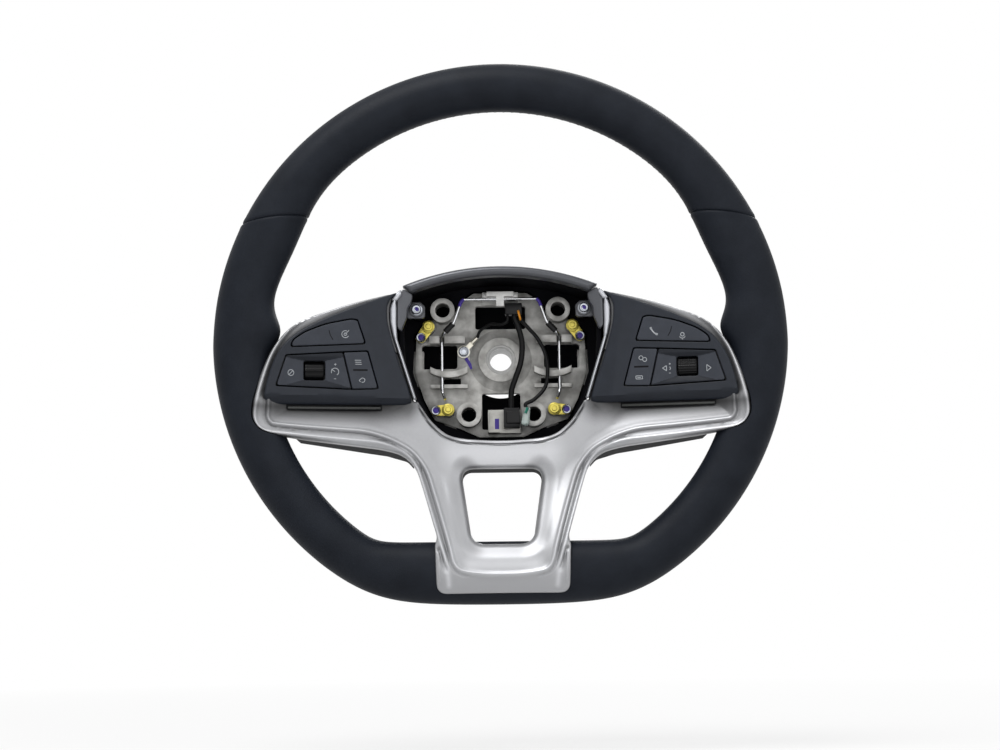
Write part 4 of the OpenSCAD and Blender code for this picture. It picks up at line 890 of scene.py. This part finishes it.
SWITCH_X, SWITCH_PROUD = 108.0, 4.0
SWITCH_Y = BEZEL_Y - (SWITCH_X - FLAT_HALF) * LEAN - SWITCH_PROUD
HOUSING = [(42.4, 39.9), (22, 33), (-2, 23.6), (-19.6, 15.2), (-30.7, 6.8), (-37.6, -3.2), (-41.4, -13.2),
           (-44, -23.5), (-45.3, -31), (-38.5, -34.2), (47, -34.3), (51.2, -33), (48, -21), (43.2, -9),
           (38.4, 7), (35, 20), (34.8, 30), (36.8, 34.6)]
HOUSING_CORNERS = [0.5, 60, 60, 60, 60, 60, 60, 60, 3, 3, 3, 1.2, 60, 60, 60, 60, 30, 30]
HOUSING_BODY = [(34, 35), (8.5, 28.8), (-15.3, 20.1), (-26.8, 13.5), (-35.1, 4.9), (-36.5, -6.8), (-36.5, -30.6),
                (49, -30.6), (36, 9)]
UPPER_KEY = [(-27.7, 2.9), (-26.5, 6.8), (-19.5, 12), (-5.4, 17.7), (11.4, 21.1), (15.3, 20.4), (20.3, 5.3)]
PANEL = [(-37.2, -22.5), (-30.8, -3), (5.6, -0.7), (11.2, -24.6)]
SIDE_KEY = [(6.2, -0.7), (21.8, 0.1), (28.5, -24.1), (11.8, -24.6)]
KEY_WELL = [(-37.2, -22.5), (-30.8, -3), (5.6, -0.7), (21.8, 0.1), (28.5, -24.1), (11.2, -24.6)]
KEY_GAP, KEY_SHRINK, KEY_FACE = 0.65, 0.2, -0.12
ROLLER = (-12.6, 7.2, -12.65)
ROLLER_HOLE = (14.1, 12.7)
PIN_RADIUS = 1.5
# The panel's dip towards the roller: its depth, and how far it reaches to the left, right, top and low side
PANEL_DIP = 1.2
PANEL_REACH = (21.5, 19.5, 9.0, 10.2)


def on_left(points):
    p = np.asarray(points, float)
    c, s = math.cos(LEAN_ANGLE), math.sin(LEAN_ANGLE)
    x, y = p[..., 0], p[..., 1]
    return np.stack([-SWITCH_X + x * c - y * s, SWITCH_Y + x * s + y * c, p[..., 2]], -1)


def on_right(points):
    return on_left(points) * (-1, 1, 1)


def face_on_right(outline):
    """An outline on the right module's face, as the wheel's X and Z."""
    return on_right([(x, 0, z) for x, z in outline])[:, ::2]


def grow(points, gap):
    """Moves each side of an outline outwards by a gap."""
    p = np.asarray(points, float)
    area = sum(p[i - 1, 0] * p[i, 1] - p[i, 0] * p[i - 1, 1] for i in range(len(p)))
    out = []
    for i in range(len(p)):
        a, b = p[i] - p[i - 1], p[(i + 1) % len(p)] - p[i]
        n1 = np.array([a[1], -a[0]]) / np.hypot(*a) * np.sign(area)
        n2 = np.array([b[1], -b[0]]) / np.hypot(*b) * np.sign(area)
        out.append(p[i] + gap * (n1 + n2) / (1 + n1 @ n2))
    return out


def housing_front(holes):
    def front(x, z, edge):
        fold = -28.2 - 0.026 * (x + 45)
        crease = 30 + 0.13 * (20 - z)
        y = 0.95 * np.clip(fold - z, 0, None) + 0.14 * np.clip(x - crease, 0, None)
        at_hole = edge_distance(np.c_[x, z], holes)
        return y + np.where(at_hole < edge + 0.01, round_over(edge, 0.35), round_over(edge, 1.3))
    return front


def panel_slopes(x, z):
    """How far in a point lies on the faces beside the roller, and on those above and below it: 0 at
    the outer end and 1 at the roller's hole."""
    left, right, top, low = PANEL_REACH
    half_w, half_h = ROLLER_HOLE[0] / 2, ROLLER_HOLE[1] / 2
    dx, dz = x - ROLLER[0], z - ROLLER[2]
    return (np.minimum((dx + left) / (left - half_w), (right - dx) / (right - half_w)),
            np.minimum((top - dz) / (top - half_h), (dz + low) / (low - half_h)))


def panel_front(x, z):
    """The four faces that dip towards the roller."""
    return PANEL_DIP * np.clip(np.minimum(*panel_slopes(x, z)), 0, 1)


def dark_faces(panel, place):
    """Which faces of the placed panel slope up or down to the roller."""
    origin = place(np.zeros(3))
    across = place(np.array((1.0, 0, 0))) - origin
    centres = np.array([tuple(p.center) for p in panel.data.polygons]) / MM - origin
    beside, above = panel_slopes(centres @ across, centres[:, 2])
    return above < beside


def stroke_mesh(name, strokes, surface, material, place, lift=0.05):
    """Thin raised lines on a surface. A stroke is (width, [(x, z), ...]); surface(x, z) is its y."""
    points, faces = [], []
    for width, line in strokes:
        p = resample(np.asarray(line, float), 0.4)
        normal = left_of(np.gradient(p, axis=0)) * width / 2
        base, n = len(points), len(p)
        for way in (-lift, lift):
            for q in (p + normal, p - normal):
                y = surface(q[:, 0], q[:, 1])
                points += [(a, float(h) + way, b) for (a, b), h in zip(q, y)]
        for i in range(n - 1):
            f0, f1, g0, g1 = base + i, base + n + i, base + 2 * n + i, base + 3 * n + i
            faces += [(f0, f0 + 1, f1 + 1, f1), (g0, g1, g1 + 1, g0 + 1), (f0, g0, g0 + 1, f0 + 1),
                      (f1, f1 + 1, g1 + 1, g1)]
        faces += [(base + i, base + n + i, base + 3 * n + i, base + 2 * n + i) for i in (0, n - 1)]
    return mesh_object(name, place(np.array(points)), faces, material)


def circle_line(cx, cz, r, start=0, end=360, count=24):
    return [(cx + r * math.cos(math.radians(t)), cz + r * math.sin(math.radians(t)))
            for t in np.linspace(start, end, count)]


def tube_mesh(name, rings, place, material, sharp=35.0):
    """A mesh through rings of points, closed at both ends."""
    rows, sides = len(rings), len(rings[0])
    faces = [(i * sides + k, i * sides + (k + 1) % sides, (i + 1) * sides + (k + 1) % sides, (i + 1) * sides + k)
             for i in range(rows - 1) for k in range(sides)]
    faces += [tuple(range(sides)), tuple(range((rows - 1) * sides, rows * sides))]
    return mesh_object(name, place(np.array(rings).reshape(-1, 3)), faces, material, sharp)


def barrel(name, radius, place, material):
    """A roller round the local X axis; radius(angle, x) with the angle in degrees, 0 towards the driver."""
    def ring(x, sides, size):
        return [(x, ROLLER[1] - size(t) * math.cos(math.radians(t)),
                 ROLLER[2] + size(t) * math.sin(math.radians(t))) for t in np.arange(sides) * 360 / sides]

    # the barrel narrows in small steps at its ends
    xs = [-6.3, -6.25, -6.0, -5.6, *np.linspace(-5.2, 5.2, 30), 5.6, 6.0, 6.25, 6.3]
    inset = {0: 1.2, 1: 0.6, 2: 0.25, 3: 0.05}
    rings = []
    for i, x in enumerate(xs):
        cut = inset.get(min(i, len(xs) - 1 - i), 0.0)
        rings.append(ring(ROLLER[0] + x, 180, lambda t: radius(t, x) - cut))
    parts = [tube_mesh(name, rings, place, material, 60)]
    for side in (-1, 1):
        pin = [ring(ROLLER[0] + side * x, 24, lambda t: PIN_RADIUS) for x in (6.0, 9.4)]
        parts.append(tube_mesh(name + "_pin", pin, place, material))
    return join(name, parts)


def toggle_radius(t, x):
    """A smooth roller with one finger ridge."""
    t = (t + 180) % 360 - 180
    return 6.35 + 0.55 * math.exp(-(t / 5.0) ** 2) - 0.35 * math.exp(-((abs(t) - 17) / 9) ** 2)


def scroll_radius(t, x):
    """A knurled roller: fine teeth that shallow grooves divide."""
    tooth = 0.5 + 0.5 * math.cos(math.radians(t * 24))
    groove = 0.5 + 0.5 * math.cos(2 * math.pi * x / 1.15)
    return 6.3 + 0.34 * tooth ** 0.7 + 0.2 * groove


# Strokes of the symbols, by the piece that carries them: the width and the line
LEFT_SYMBOLS = {
    "upper_key": [(0.42, circle_line(7.4, 11.2, 2.3, 60, 330)), (0.42, [(7.4, 11.2), (9.8, 13.8)]),
                  (0.42, circle_line(7.4, 11.2, 0.9))],
    "roller_panel": [(0.38, circle_line(-27.8, -14.2, 1.9)), (0.38, [(-29.1, -15.5), (-26.5, -12.9)]),
                     (0.42, circle_line(0.7, -13.4, 2.4, -60, 200)), (0.36, [(0.7, -13.4), (-1.6, -11.6)]),
                     (0.36, [(0.2, -8.6), (1.6, -8.6)]), (0.36, [(0.9, -7.9), (0.9, -9.3)]),
                     (0.36, [(0, -18), (1.4, -18)])],
    "side_key": [(0.4, [(13.4, -5.8), (17.6, -5.8)]), (0.4, [(13.6, -7.1), (17.8, -7.1)]),
                 (0.4, [(13.8, -8.4), (18.0, -8.4)]), (0.4, circle_line(18.6, -18.8, 1.4, -120, 150)),
                 (0.4, [(17.4, -18.1), (16.2, -18.9), (17.2, -20.0)])],
}
RIGHT_SYMBOLS = {
    "upper_key": [(0.8, [(10.4, 13.2), (9.6, 11.2), (8.0, 9.4), (6.2, 8.6)]), (1.3, [(10.6, 13.4), (10.1, 12.1)]),
                  (1.3, [(7.3, 8.9), (6.0, 8.5)]), (0.45, circle_line(-10, 8.0, 1.15)),
                  (0.45, circle_line(-10, 7.4, 1.9, 200, 340)), (0.45, [(-10, 5.5), (-10, 4.6)])],
    "roller_panel": [(0.42, [(3.4, -13.6), (0.8, -12.0), (0.8, -15.4), (3.4, -13.6)]),
                     (0.36, [(-1.9, -10.9), (-0.7, -10.9)]), (0.36, [(-1.3, -10.3), (-1.3, -11.5)]),
                     (0.4, circle_line(-0.6, -13.8, 1.1, 120, 240)), (0.36, [(-1.9, -16.9), (-0.7, -16.9)]),
                     (0.42, [(-25.2, -12.2), (-28.0, -14.3), (-25.2, -16.4), (-25.2, -12.2)])],
    "side_key": [(0.4, circle_line(17.2, -6.4, 1.3)), (0.4, circle_line(14.8, -7.6, 1.3)),
                 (0.4, [(16.6, -18.2), (20.8, -18.2), (20.6, -20.2), (16.4, -20.2), (16.6, -18.2)]),
                 (0.4, [(17.4, -19.2), (19.8, -19.2)])],
}
DARK_MARKS = {
    "upper_key": [(0.5, [(-3.2, 13.6), (-2.4, 10.4), (-0.6, 7.4)])],
    "side_key": [(1.1, [(12.4, -12.2), (21.8, -12.2)])],
}


def key_cap(name, outline, corner, holes, dip, edge_radius, back, grid, place):
    """The cap of a key or of the roller panel."""
    return relief(name + "_cap", rounded_loop(grow(outline, -KEY_SHRINK), corner, 0.7), holes,
                  lambda x, z, e: KEY_FACE + dip(x, z) + round_over(e, edge_radius), lambda x, z: back,
                  M["key_plastic"], (0.1, 0.25, 0.45), grid, place)


def build_switch(side, place, symbols):
    upper = rounded_loop(grow(UPPER_KEY, KEY_GAP), [2.4, 40, 40, 60, 60, 1.6, 2.0], 0.7)
    lower = rounded_loop(grow(KEY_WELL, KEY_GAP), [1.4, 1.6, 60, 1.6, 1.6, 60], 0.7)
    shell = relief("shell", rounded_loop(HOUSING, HOUSING_CORNERS, 0.9), [upper, lower],
                   housing_front([upper, lower]), lambda x, z: 6, M["switch_plastic"],
                   (0.1, 0.25, 0.5, 0.9, 1.4), 1.6, place)
    body = relief("wall", rounded_loop(grow(HOUSING_BODY, -0.3), 2.0, 1.2),
                  [rounded_loop(grow(HOUSING_BODY, -1.8), 1.5, 1.2)], lambda x, z, e: 6.0,
                  lambda x, z: 17.5, M["switch_plastic"], (0.6,), 3.0, place)
    dress(join("switch_shell_" + side, [shell, body]), "switch_plastic", "switch_housing_" + side)
    dress(brick("switch_strip_" + side, (-29.5, 5.6, -37.2), (31, 11, -35.4), M["symbol_strip"], 0.5, place),
          "switch_plastic")
    # a near-black block in the slot below the housing: painted shade
    dress(brick("painted_slot_shade_" + side, (-30.4, 7.4, -38.0), (31.9, 12, -32.2), M["groove_dark_and_slot_shade"], 0.5, place),
          "switch_plastic")

    def level(x, z):
        return 0 * x

    for part, outline, corner in (("_upper_key", UPPER_KEY, [2.0, 40, 40, 60, 60, 1.2, 1.6]),
                                  ("_side_key", SIDE_KEY, [0.6, 1.4, 1.4, 0.6])):
        key = key_cap(side + part, outline, corner, [], level, 0.45, 3.2, 1.8, place)
        dress(key, "key_plastic", side + part, body=side + part)
    half_w, half_h = ROLLER_HOLE[0] / 2, ROLLER_HOLE[1] / 2
    hole = [(ROLLER[0] + sx * half_w, ROLLER[2] + sz * half_h) for sx, sz in ((-1, -1), (1, -1), (1, 1), (-1, 1))]
    panel = key_cap(side + "_roller_panel", PANEL, [1.4, 1.6, 0.6, 0.6], [rounded_loop(hole, 1.5, 0.6)],
                    panel_front, 0.4, 4.2, 0.7, place)
    panel.data.materials.append(M["facet_dark"])
    for polygon, dark in zip(panel.data.polygons, dark_faces(panel, place)):
        polygon.material_index = int(dark)
    dress(panel, "key_plastic", side + "_roller_panel", body=side + "_roller_panel")
    radius = toggle_radius if side == "left" else scroll_radius
    dress(barrel(side + "_roller_grip", radius, place, M["roller_black"]), "roller_black", side + "_roller",
          body=side + "_roller")

    for marks, ending, material, lift in ((symbols, "_symbols", "symbol_grey", 0.05),
                                          (DARK_MARKS, "_groove", "groove_dark_and_slot_shade", 0.03)):
        for part, strokes in marks.items():
            dip = panel_front if part == "roller_panel" else level
            mark = stroke_mesh(side + "_" + part + ending, strokes, lambda x, z: KEY_FACE + dip(x, z),
                               M[material], place, lift)
            dress(mark, "key_plastic", body=side + "_" + part)


# Hub casting, wire, bolts, screws and connectors

BOLTS = [(48.5, 22.5), (35.6, -34)]
BOLT = [(0, -11.3), (1.5, -11.2), (1.9, -10.7), (2.9, -10.7), (3.2, -10.3), (3.2, -8.7), (4.1, -8.4), (4.3, -8.0),
        (4.3, -7.1), (2.0, -7.1), (2.0, 5.9), (0, 5.9)]
CONTACTS = [(53.5, 15.2), (43.8, -34.4)]
CONTACT = [(0, -8.6), (1.7, -8.6), (2.1, -9.4), (2.8, -9.6), (3.2, -9.1), (3.2, -7.0), (1.5, -6.9), (1.5, 5.9),
           (0, 5.9)]
TRIM_SCREW = [(0, -32.2), (1.4, -32.2), (1.7, -33.2), (2.6, -33.3), (3.0, -32.8), (3.1, -31.9), (3.8, -31.6),
              (3.8, -30.9), (1.5, -30.8), (1.5, -16.1), (0, -16.1)]
EARTH = (-24.9, 5.7)
EARTH_SCREW = [(0, -5.2), (1.6, -5.2), (1.9, -6.4), (2.7, -6.6), (3.1, -6.1), (3.2, -4.4), (3.7, -4.2),
               (3.7, -3.9), (2.0, -3.9), (2.0, 5.9), (0, 5.9)]
WIRE_Y = -14.2
WIRE_HALF = [(24.4, WIRE_Y, 39.8), (26.2, WIRE_Y, 38.4), (30.4, WIRE_Y, 26.2), (31.4, WIRE_Y, 23.8),
             (38, -11.2, 17.4), (39.4, -9, 15.4), (39.6, -5.2, 12.6), (39.6, -5, -20), (39, -6, -23),
             (37.6, -9, -27)]
# Pieces that keep the CAD model's shape: the new edges' size and the material
SOFTENED = {
    "spring_clamp": (0.3, "clamp_zinc"),
    "connector_bracket": (0.2, "bracket_steel"),
    "main_connector": (0.5, "connector_black"),
    "lower_connector": (0.4, "connector_black"),
    "contact_straps": (0.15, "yellow_zinc"),
    "earth_terminal": (0.15, "tinned_copper"),
}
# Coloured ends of wires: the route, the diameter and the material
WIRE_ENDS = {
    "orange_wire_end": ([(11.8, -16, 31.5), (12.2, -18.6, 30.5), (12.6, -18.9, 28.4), (13.2, -17.6, 26.6),
                         (13.4, -15.6, 25.6)], 1.5, "orange_wire"),
    "green_wire_end": ([(17.4, -18.3, -34.2), (17.0, -18.5, -35.6), (16.0, -18.55, -38)], 1.9, "green_wire"),
}
CLEAR_SLEEVE = [(19.6, -33.8), (15.8, -33.8), (12.9, -44.0), (14.4, -46.2), (18.4, -45.4)]
PAINT_STREAK = [(-23.6, 1.8), (-21.6, -1.4), (-19.4, -5.4)]


def bent_line(points, radius=1.6):
    """A line of straight stretches with its corners rounded."""
    p = [Vector(q) for q in points]
    line = [p[0]]
    for a, b, c in zip(p, p[1:], p[2:]):
        reach = min(radius, 0.45 * (b - a).length, 0.45 * (c - b).length)
        line += corner_arc(b + (a - b).normalized() * reach, b, b + (c - b).normalized() * reach, 6)
    return line + [p[-1]]


def turned_set(name, profile, places, material):
    """Turned pieces of one kind, as one object."""
    return join(name, [lathe(name, profile, place, material) for place in places])


def paint_disc(centre, r, y):
    profile = [(0, y - 0.12), (0.7 * r, y - 0.1), (r, y), (0, y + 0.1)]
    return lathe("paint", profile, centre, M["purple_mark"], 20)


def build_hub():
    """The casting with its wire, screws, connectors and paint marks."""
    dress(softened_copy("armature", "hub_casting", 0.6, M["cast_alloy"]), "cast_alloy", "armature")
    left = [(-x, y, z) for x, y, z in reversed(WIRE_HALF)]
    wire = curve_tube("airbag_wire", [bent_line(left + WIRE_HALF)], 2.0, M["spring_steel"])
    dress(wire, "spring_steel", "retaining_spring")

    bolts, contacts, trims = ([(side * x, z) for side in (-1, 1) for x, z in places]
                              for places in (BOLTS, CONTACTS, [TABS]))
    dress(turned_set("yellow_bolts", BOLT, bolts, M["yellow_zinc"]), "yellow_zinc", "horn_bolts")
    dress(turned_set("contact_heads", CONTACT, contacts, M["screw_steel"]), "marked_screw", "contact_screws")
    dots = [paint_disc(place, 2.0, -8.7) for place in contacts]
    dots += [paint_disc((x + 0.5, z + 0.5), 1.5, -32.3) for x, z in trims]
    dress(join("paint_dots", dots), "marked_screw")
    dress(turned_set("trim_heads", TRIM_SCREW, trims, M["screw_steel"]), "screw_steel", "trim_screws")
    dress(lathe("earth_head", EARTH_SCREW, EARTH, M["screw_steel"]), "screw_steel", "earth_screw")

    for side in (-1, 1):
        corner = bent_line([(side * x, y, z) for x, y, z in WIRE_HALF[:2] + [(27.4, WIRE_Y, 34.9)]])
        wrap = curve_tube("wire_paint", [[(x, y - 0.15, z) for x, y, z in corner]], 2.3, M["purple_mark"])
        dress(wrap, "marked_screw")
    streak = stroke_mesh("paint_streak", [(2.2, PAINT_STREAK)], lambda x, z: -0.25 + 0 * x, M["purple_mark"],
                         lambda p: p, 0.3)
    dress(streak, "marked_screw")
    slots = {row["node"]: row["material_slot"] for row in frame["record"]["subparts"]}
    for node, (bevel, material) in SOFTENED.items():
        dress(softened_copy(node, node + "_finished", bevel, M[material]), slots[node], node)
    for name, (route, diameter, material) in WIRE_ENDS.items():
        dress(curve_tube(name, [smooth_route(route, 6)], diameter, M[material]), "lead_black")
    clear = relief("clear_connector_finished", rounded_loop(CLEAR_SLEEVE, 1.6, 0.7), [],
                   lambda x, z, e: -18.4 + round_over(e, 1.8), lambda x, z: -12.6, M["clear_plastic"],
                   (0.2, 0.5, 0.9, 1.4), 1.4)
    dress(clear, "clear_plastic", "clear_connector")
    mark = brick("bracket_paint", (-4.4, -4.85, -47), (-1.6, -4.5, -40), M["purple_mark"], 0.1)
    dress(mark, "bracket_steel")


# Stage

FLOOR_HALF, FLOOR_Z = 6.0, -0.26
# Where each lamp stands and aims, its size in metres and its power
LAMPS = {
    "key": ((-0.5, -0.95, 1.65), (0, -0.04, 0), 1.2, 30),
    "fill": ((1.2, -1.3, 0.7), (0, -0.04, 0), 1.9, 8),
    "low": ((0.0, -1.5, -0.1), (0, -0.04, -0.05), 1.1, 3.5),
    "back": ((0.5, 1.3, 1.1), (0, 0, 0), 1.2, 12),
}


def rays(tree, *kinds):
    """1 for rays of the kinds named and 0 for all others."""
    paths = tree.nodes.new("ShaderNodeLightPath")
    result = paths.outputs[kinds[0]]
    for kind in kinds[1:]:
        result = math_node(tree, "MAXIMUM", result, paths.outputs[kind])
    return result


def add_floor():
    """A pale floor that shows white to the camera, but keeps the object's shadow."""
    mesh = bpy.data.meshes.new("floor")
    corners = [(-1, -1), (1, -1), (1, 1), (-1, 1)]
    mesh.from_pydata([(FLOOR_HALF * x, FLOOR_HALF * y, FLOOR_Z) for x, y in corners], [], [(0, 1, 2, 3)])
    mat = new_material("floor", (0.86, 0.86, 0.86), 0.9, Specular_IOR_Level=0.1)
    mesh.materials.append(mat)
    floor = add_object("floor", mesh)
    tree = mat.node_tree
    nodes, links = tree.nodes, tree.links
    # the white takes over from the lit floor 0.4 to 1.6 m from the wheel
    far = nodes.new("ShaderNodeVectorMath")
    far.operation = "LENGTH"
    links.new(nodes.new("ShaderNodeTexCoord").outputs["Object"], far.inputs[0])
    share = map_range(tree, far.outputs["Value"], 0.75, 1.0, 0.4, 1.6)
    glow = nodes.new("ShaderNodeEmission")
    glow.inputs["Strength"].default_value = 1.0
    mix = nodes.new("ShaderNodeMixShader")
    seen = rays(tree, "Is Camera Ray", "Is Glossy Ray")
    links.new(math_node(tree, "MULTIPLY", seen, share), mix.inputs["Fac"])
    links.new(nodes["Principled BSDF"].outputs[0], mix.inputs[1])
    links.new(glow.outputs[0], mix.inputs[2])
    links.new(mix.outputs[0], nodes["Material Output"].inputs["Surface"])


def add_surround():
    """A white surround that lights the wheel only weakly."""
    world = bpy.data.worlds.new("studio")
    bpy.context.scene.world = world
    world.use_nodes = True
    tree = world.node_tree
    background = tree.nodes["Background"]
    background.inputs["Color"].default_value = (1, 1, 1, 1)
    seen = rays(tree, "Is Camera Ray", "Is Glossy Ray", "Is Transmission Ray")
    tree.links.new(map_range(tree, seen, 0.24, 1.0), background.inputs["Strength"])
    bpy.context.scene.view_settings.view_transform = "Standard"


def add_lamps():
    for name, (place, aim, size, power) in LAMPS.items():
        data = bpy.data.lights.new(name, "AREA")
        data.shape = "DISK"
        data.size = size
        data.energy = power
        add_object(name, data).matrix_world = aimed(place, Vector(aim) - Vector(place))


def finish_cad_nodes():
    """Gives each CAD node that still shows its finish."""
    for row in frame["record"]["subparts"]:
        mesh = NODES[row["node"]].data
        mesh.materials.clear()
        mesh.materials.append(M.get(row["material_slot"], M["screw_steel"]))


add_camera()
add_floor()
add_surround()
add_lamps()
add_leads(M["lead_black"])
finish_cad_nodes()
build_rim()
build_bezel()
build_trim()
build_switch("left", on_left, LEFT_SYMBOLS)
build_switch("right", on_right, RIGHT_SYMBOLS)
build_hub()
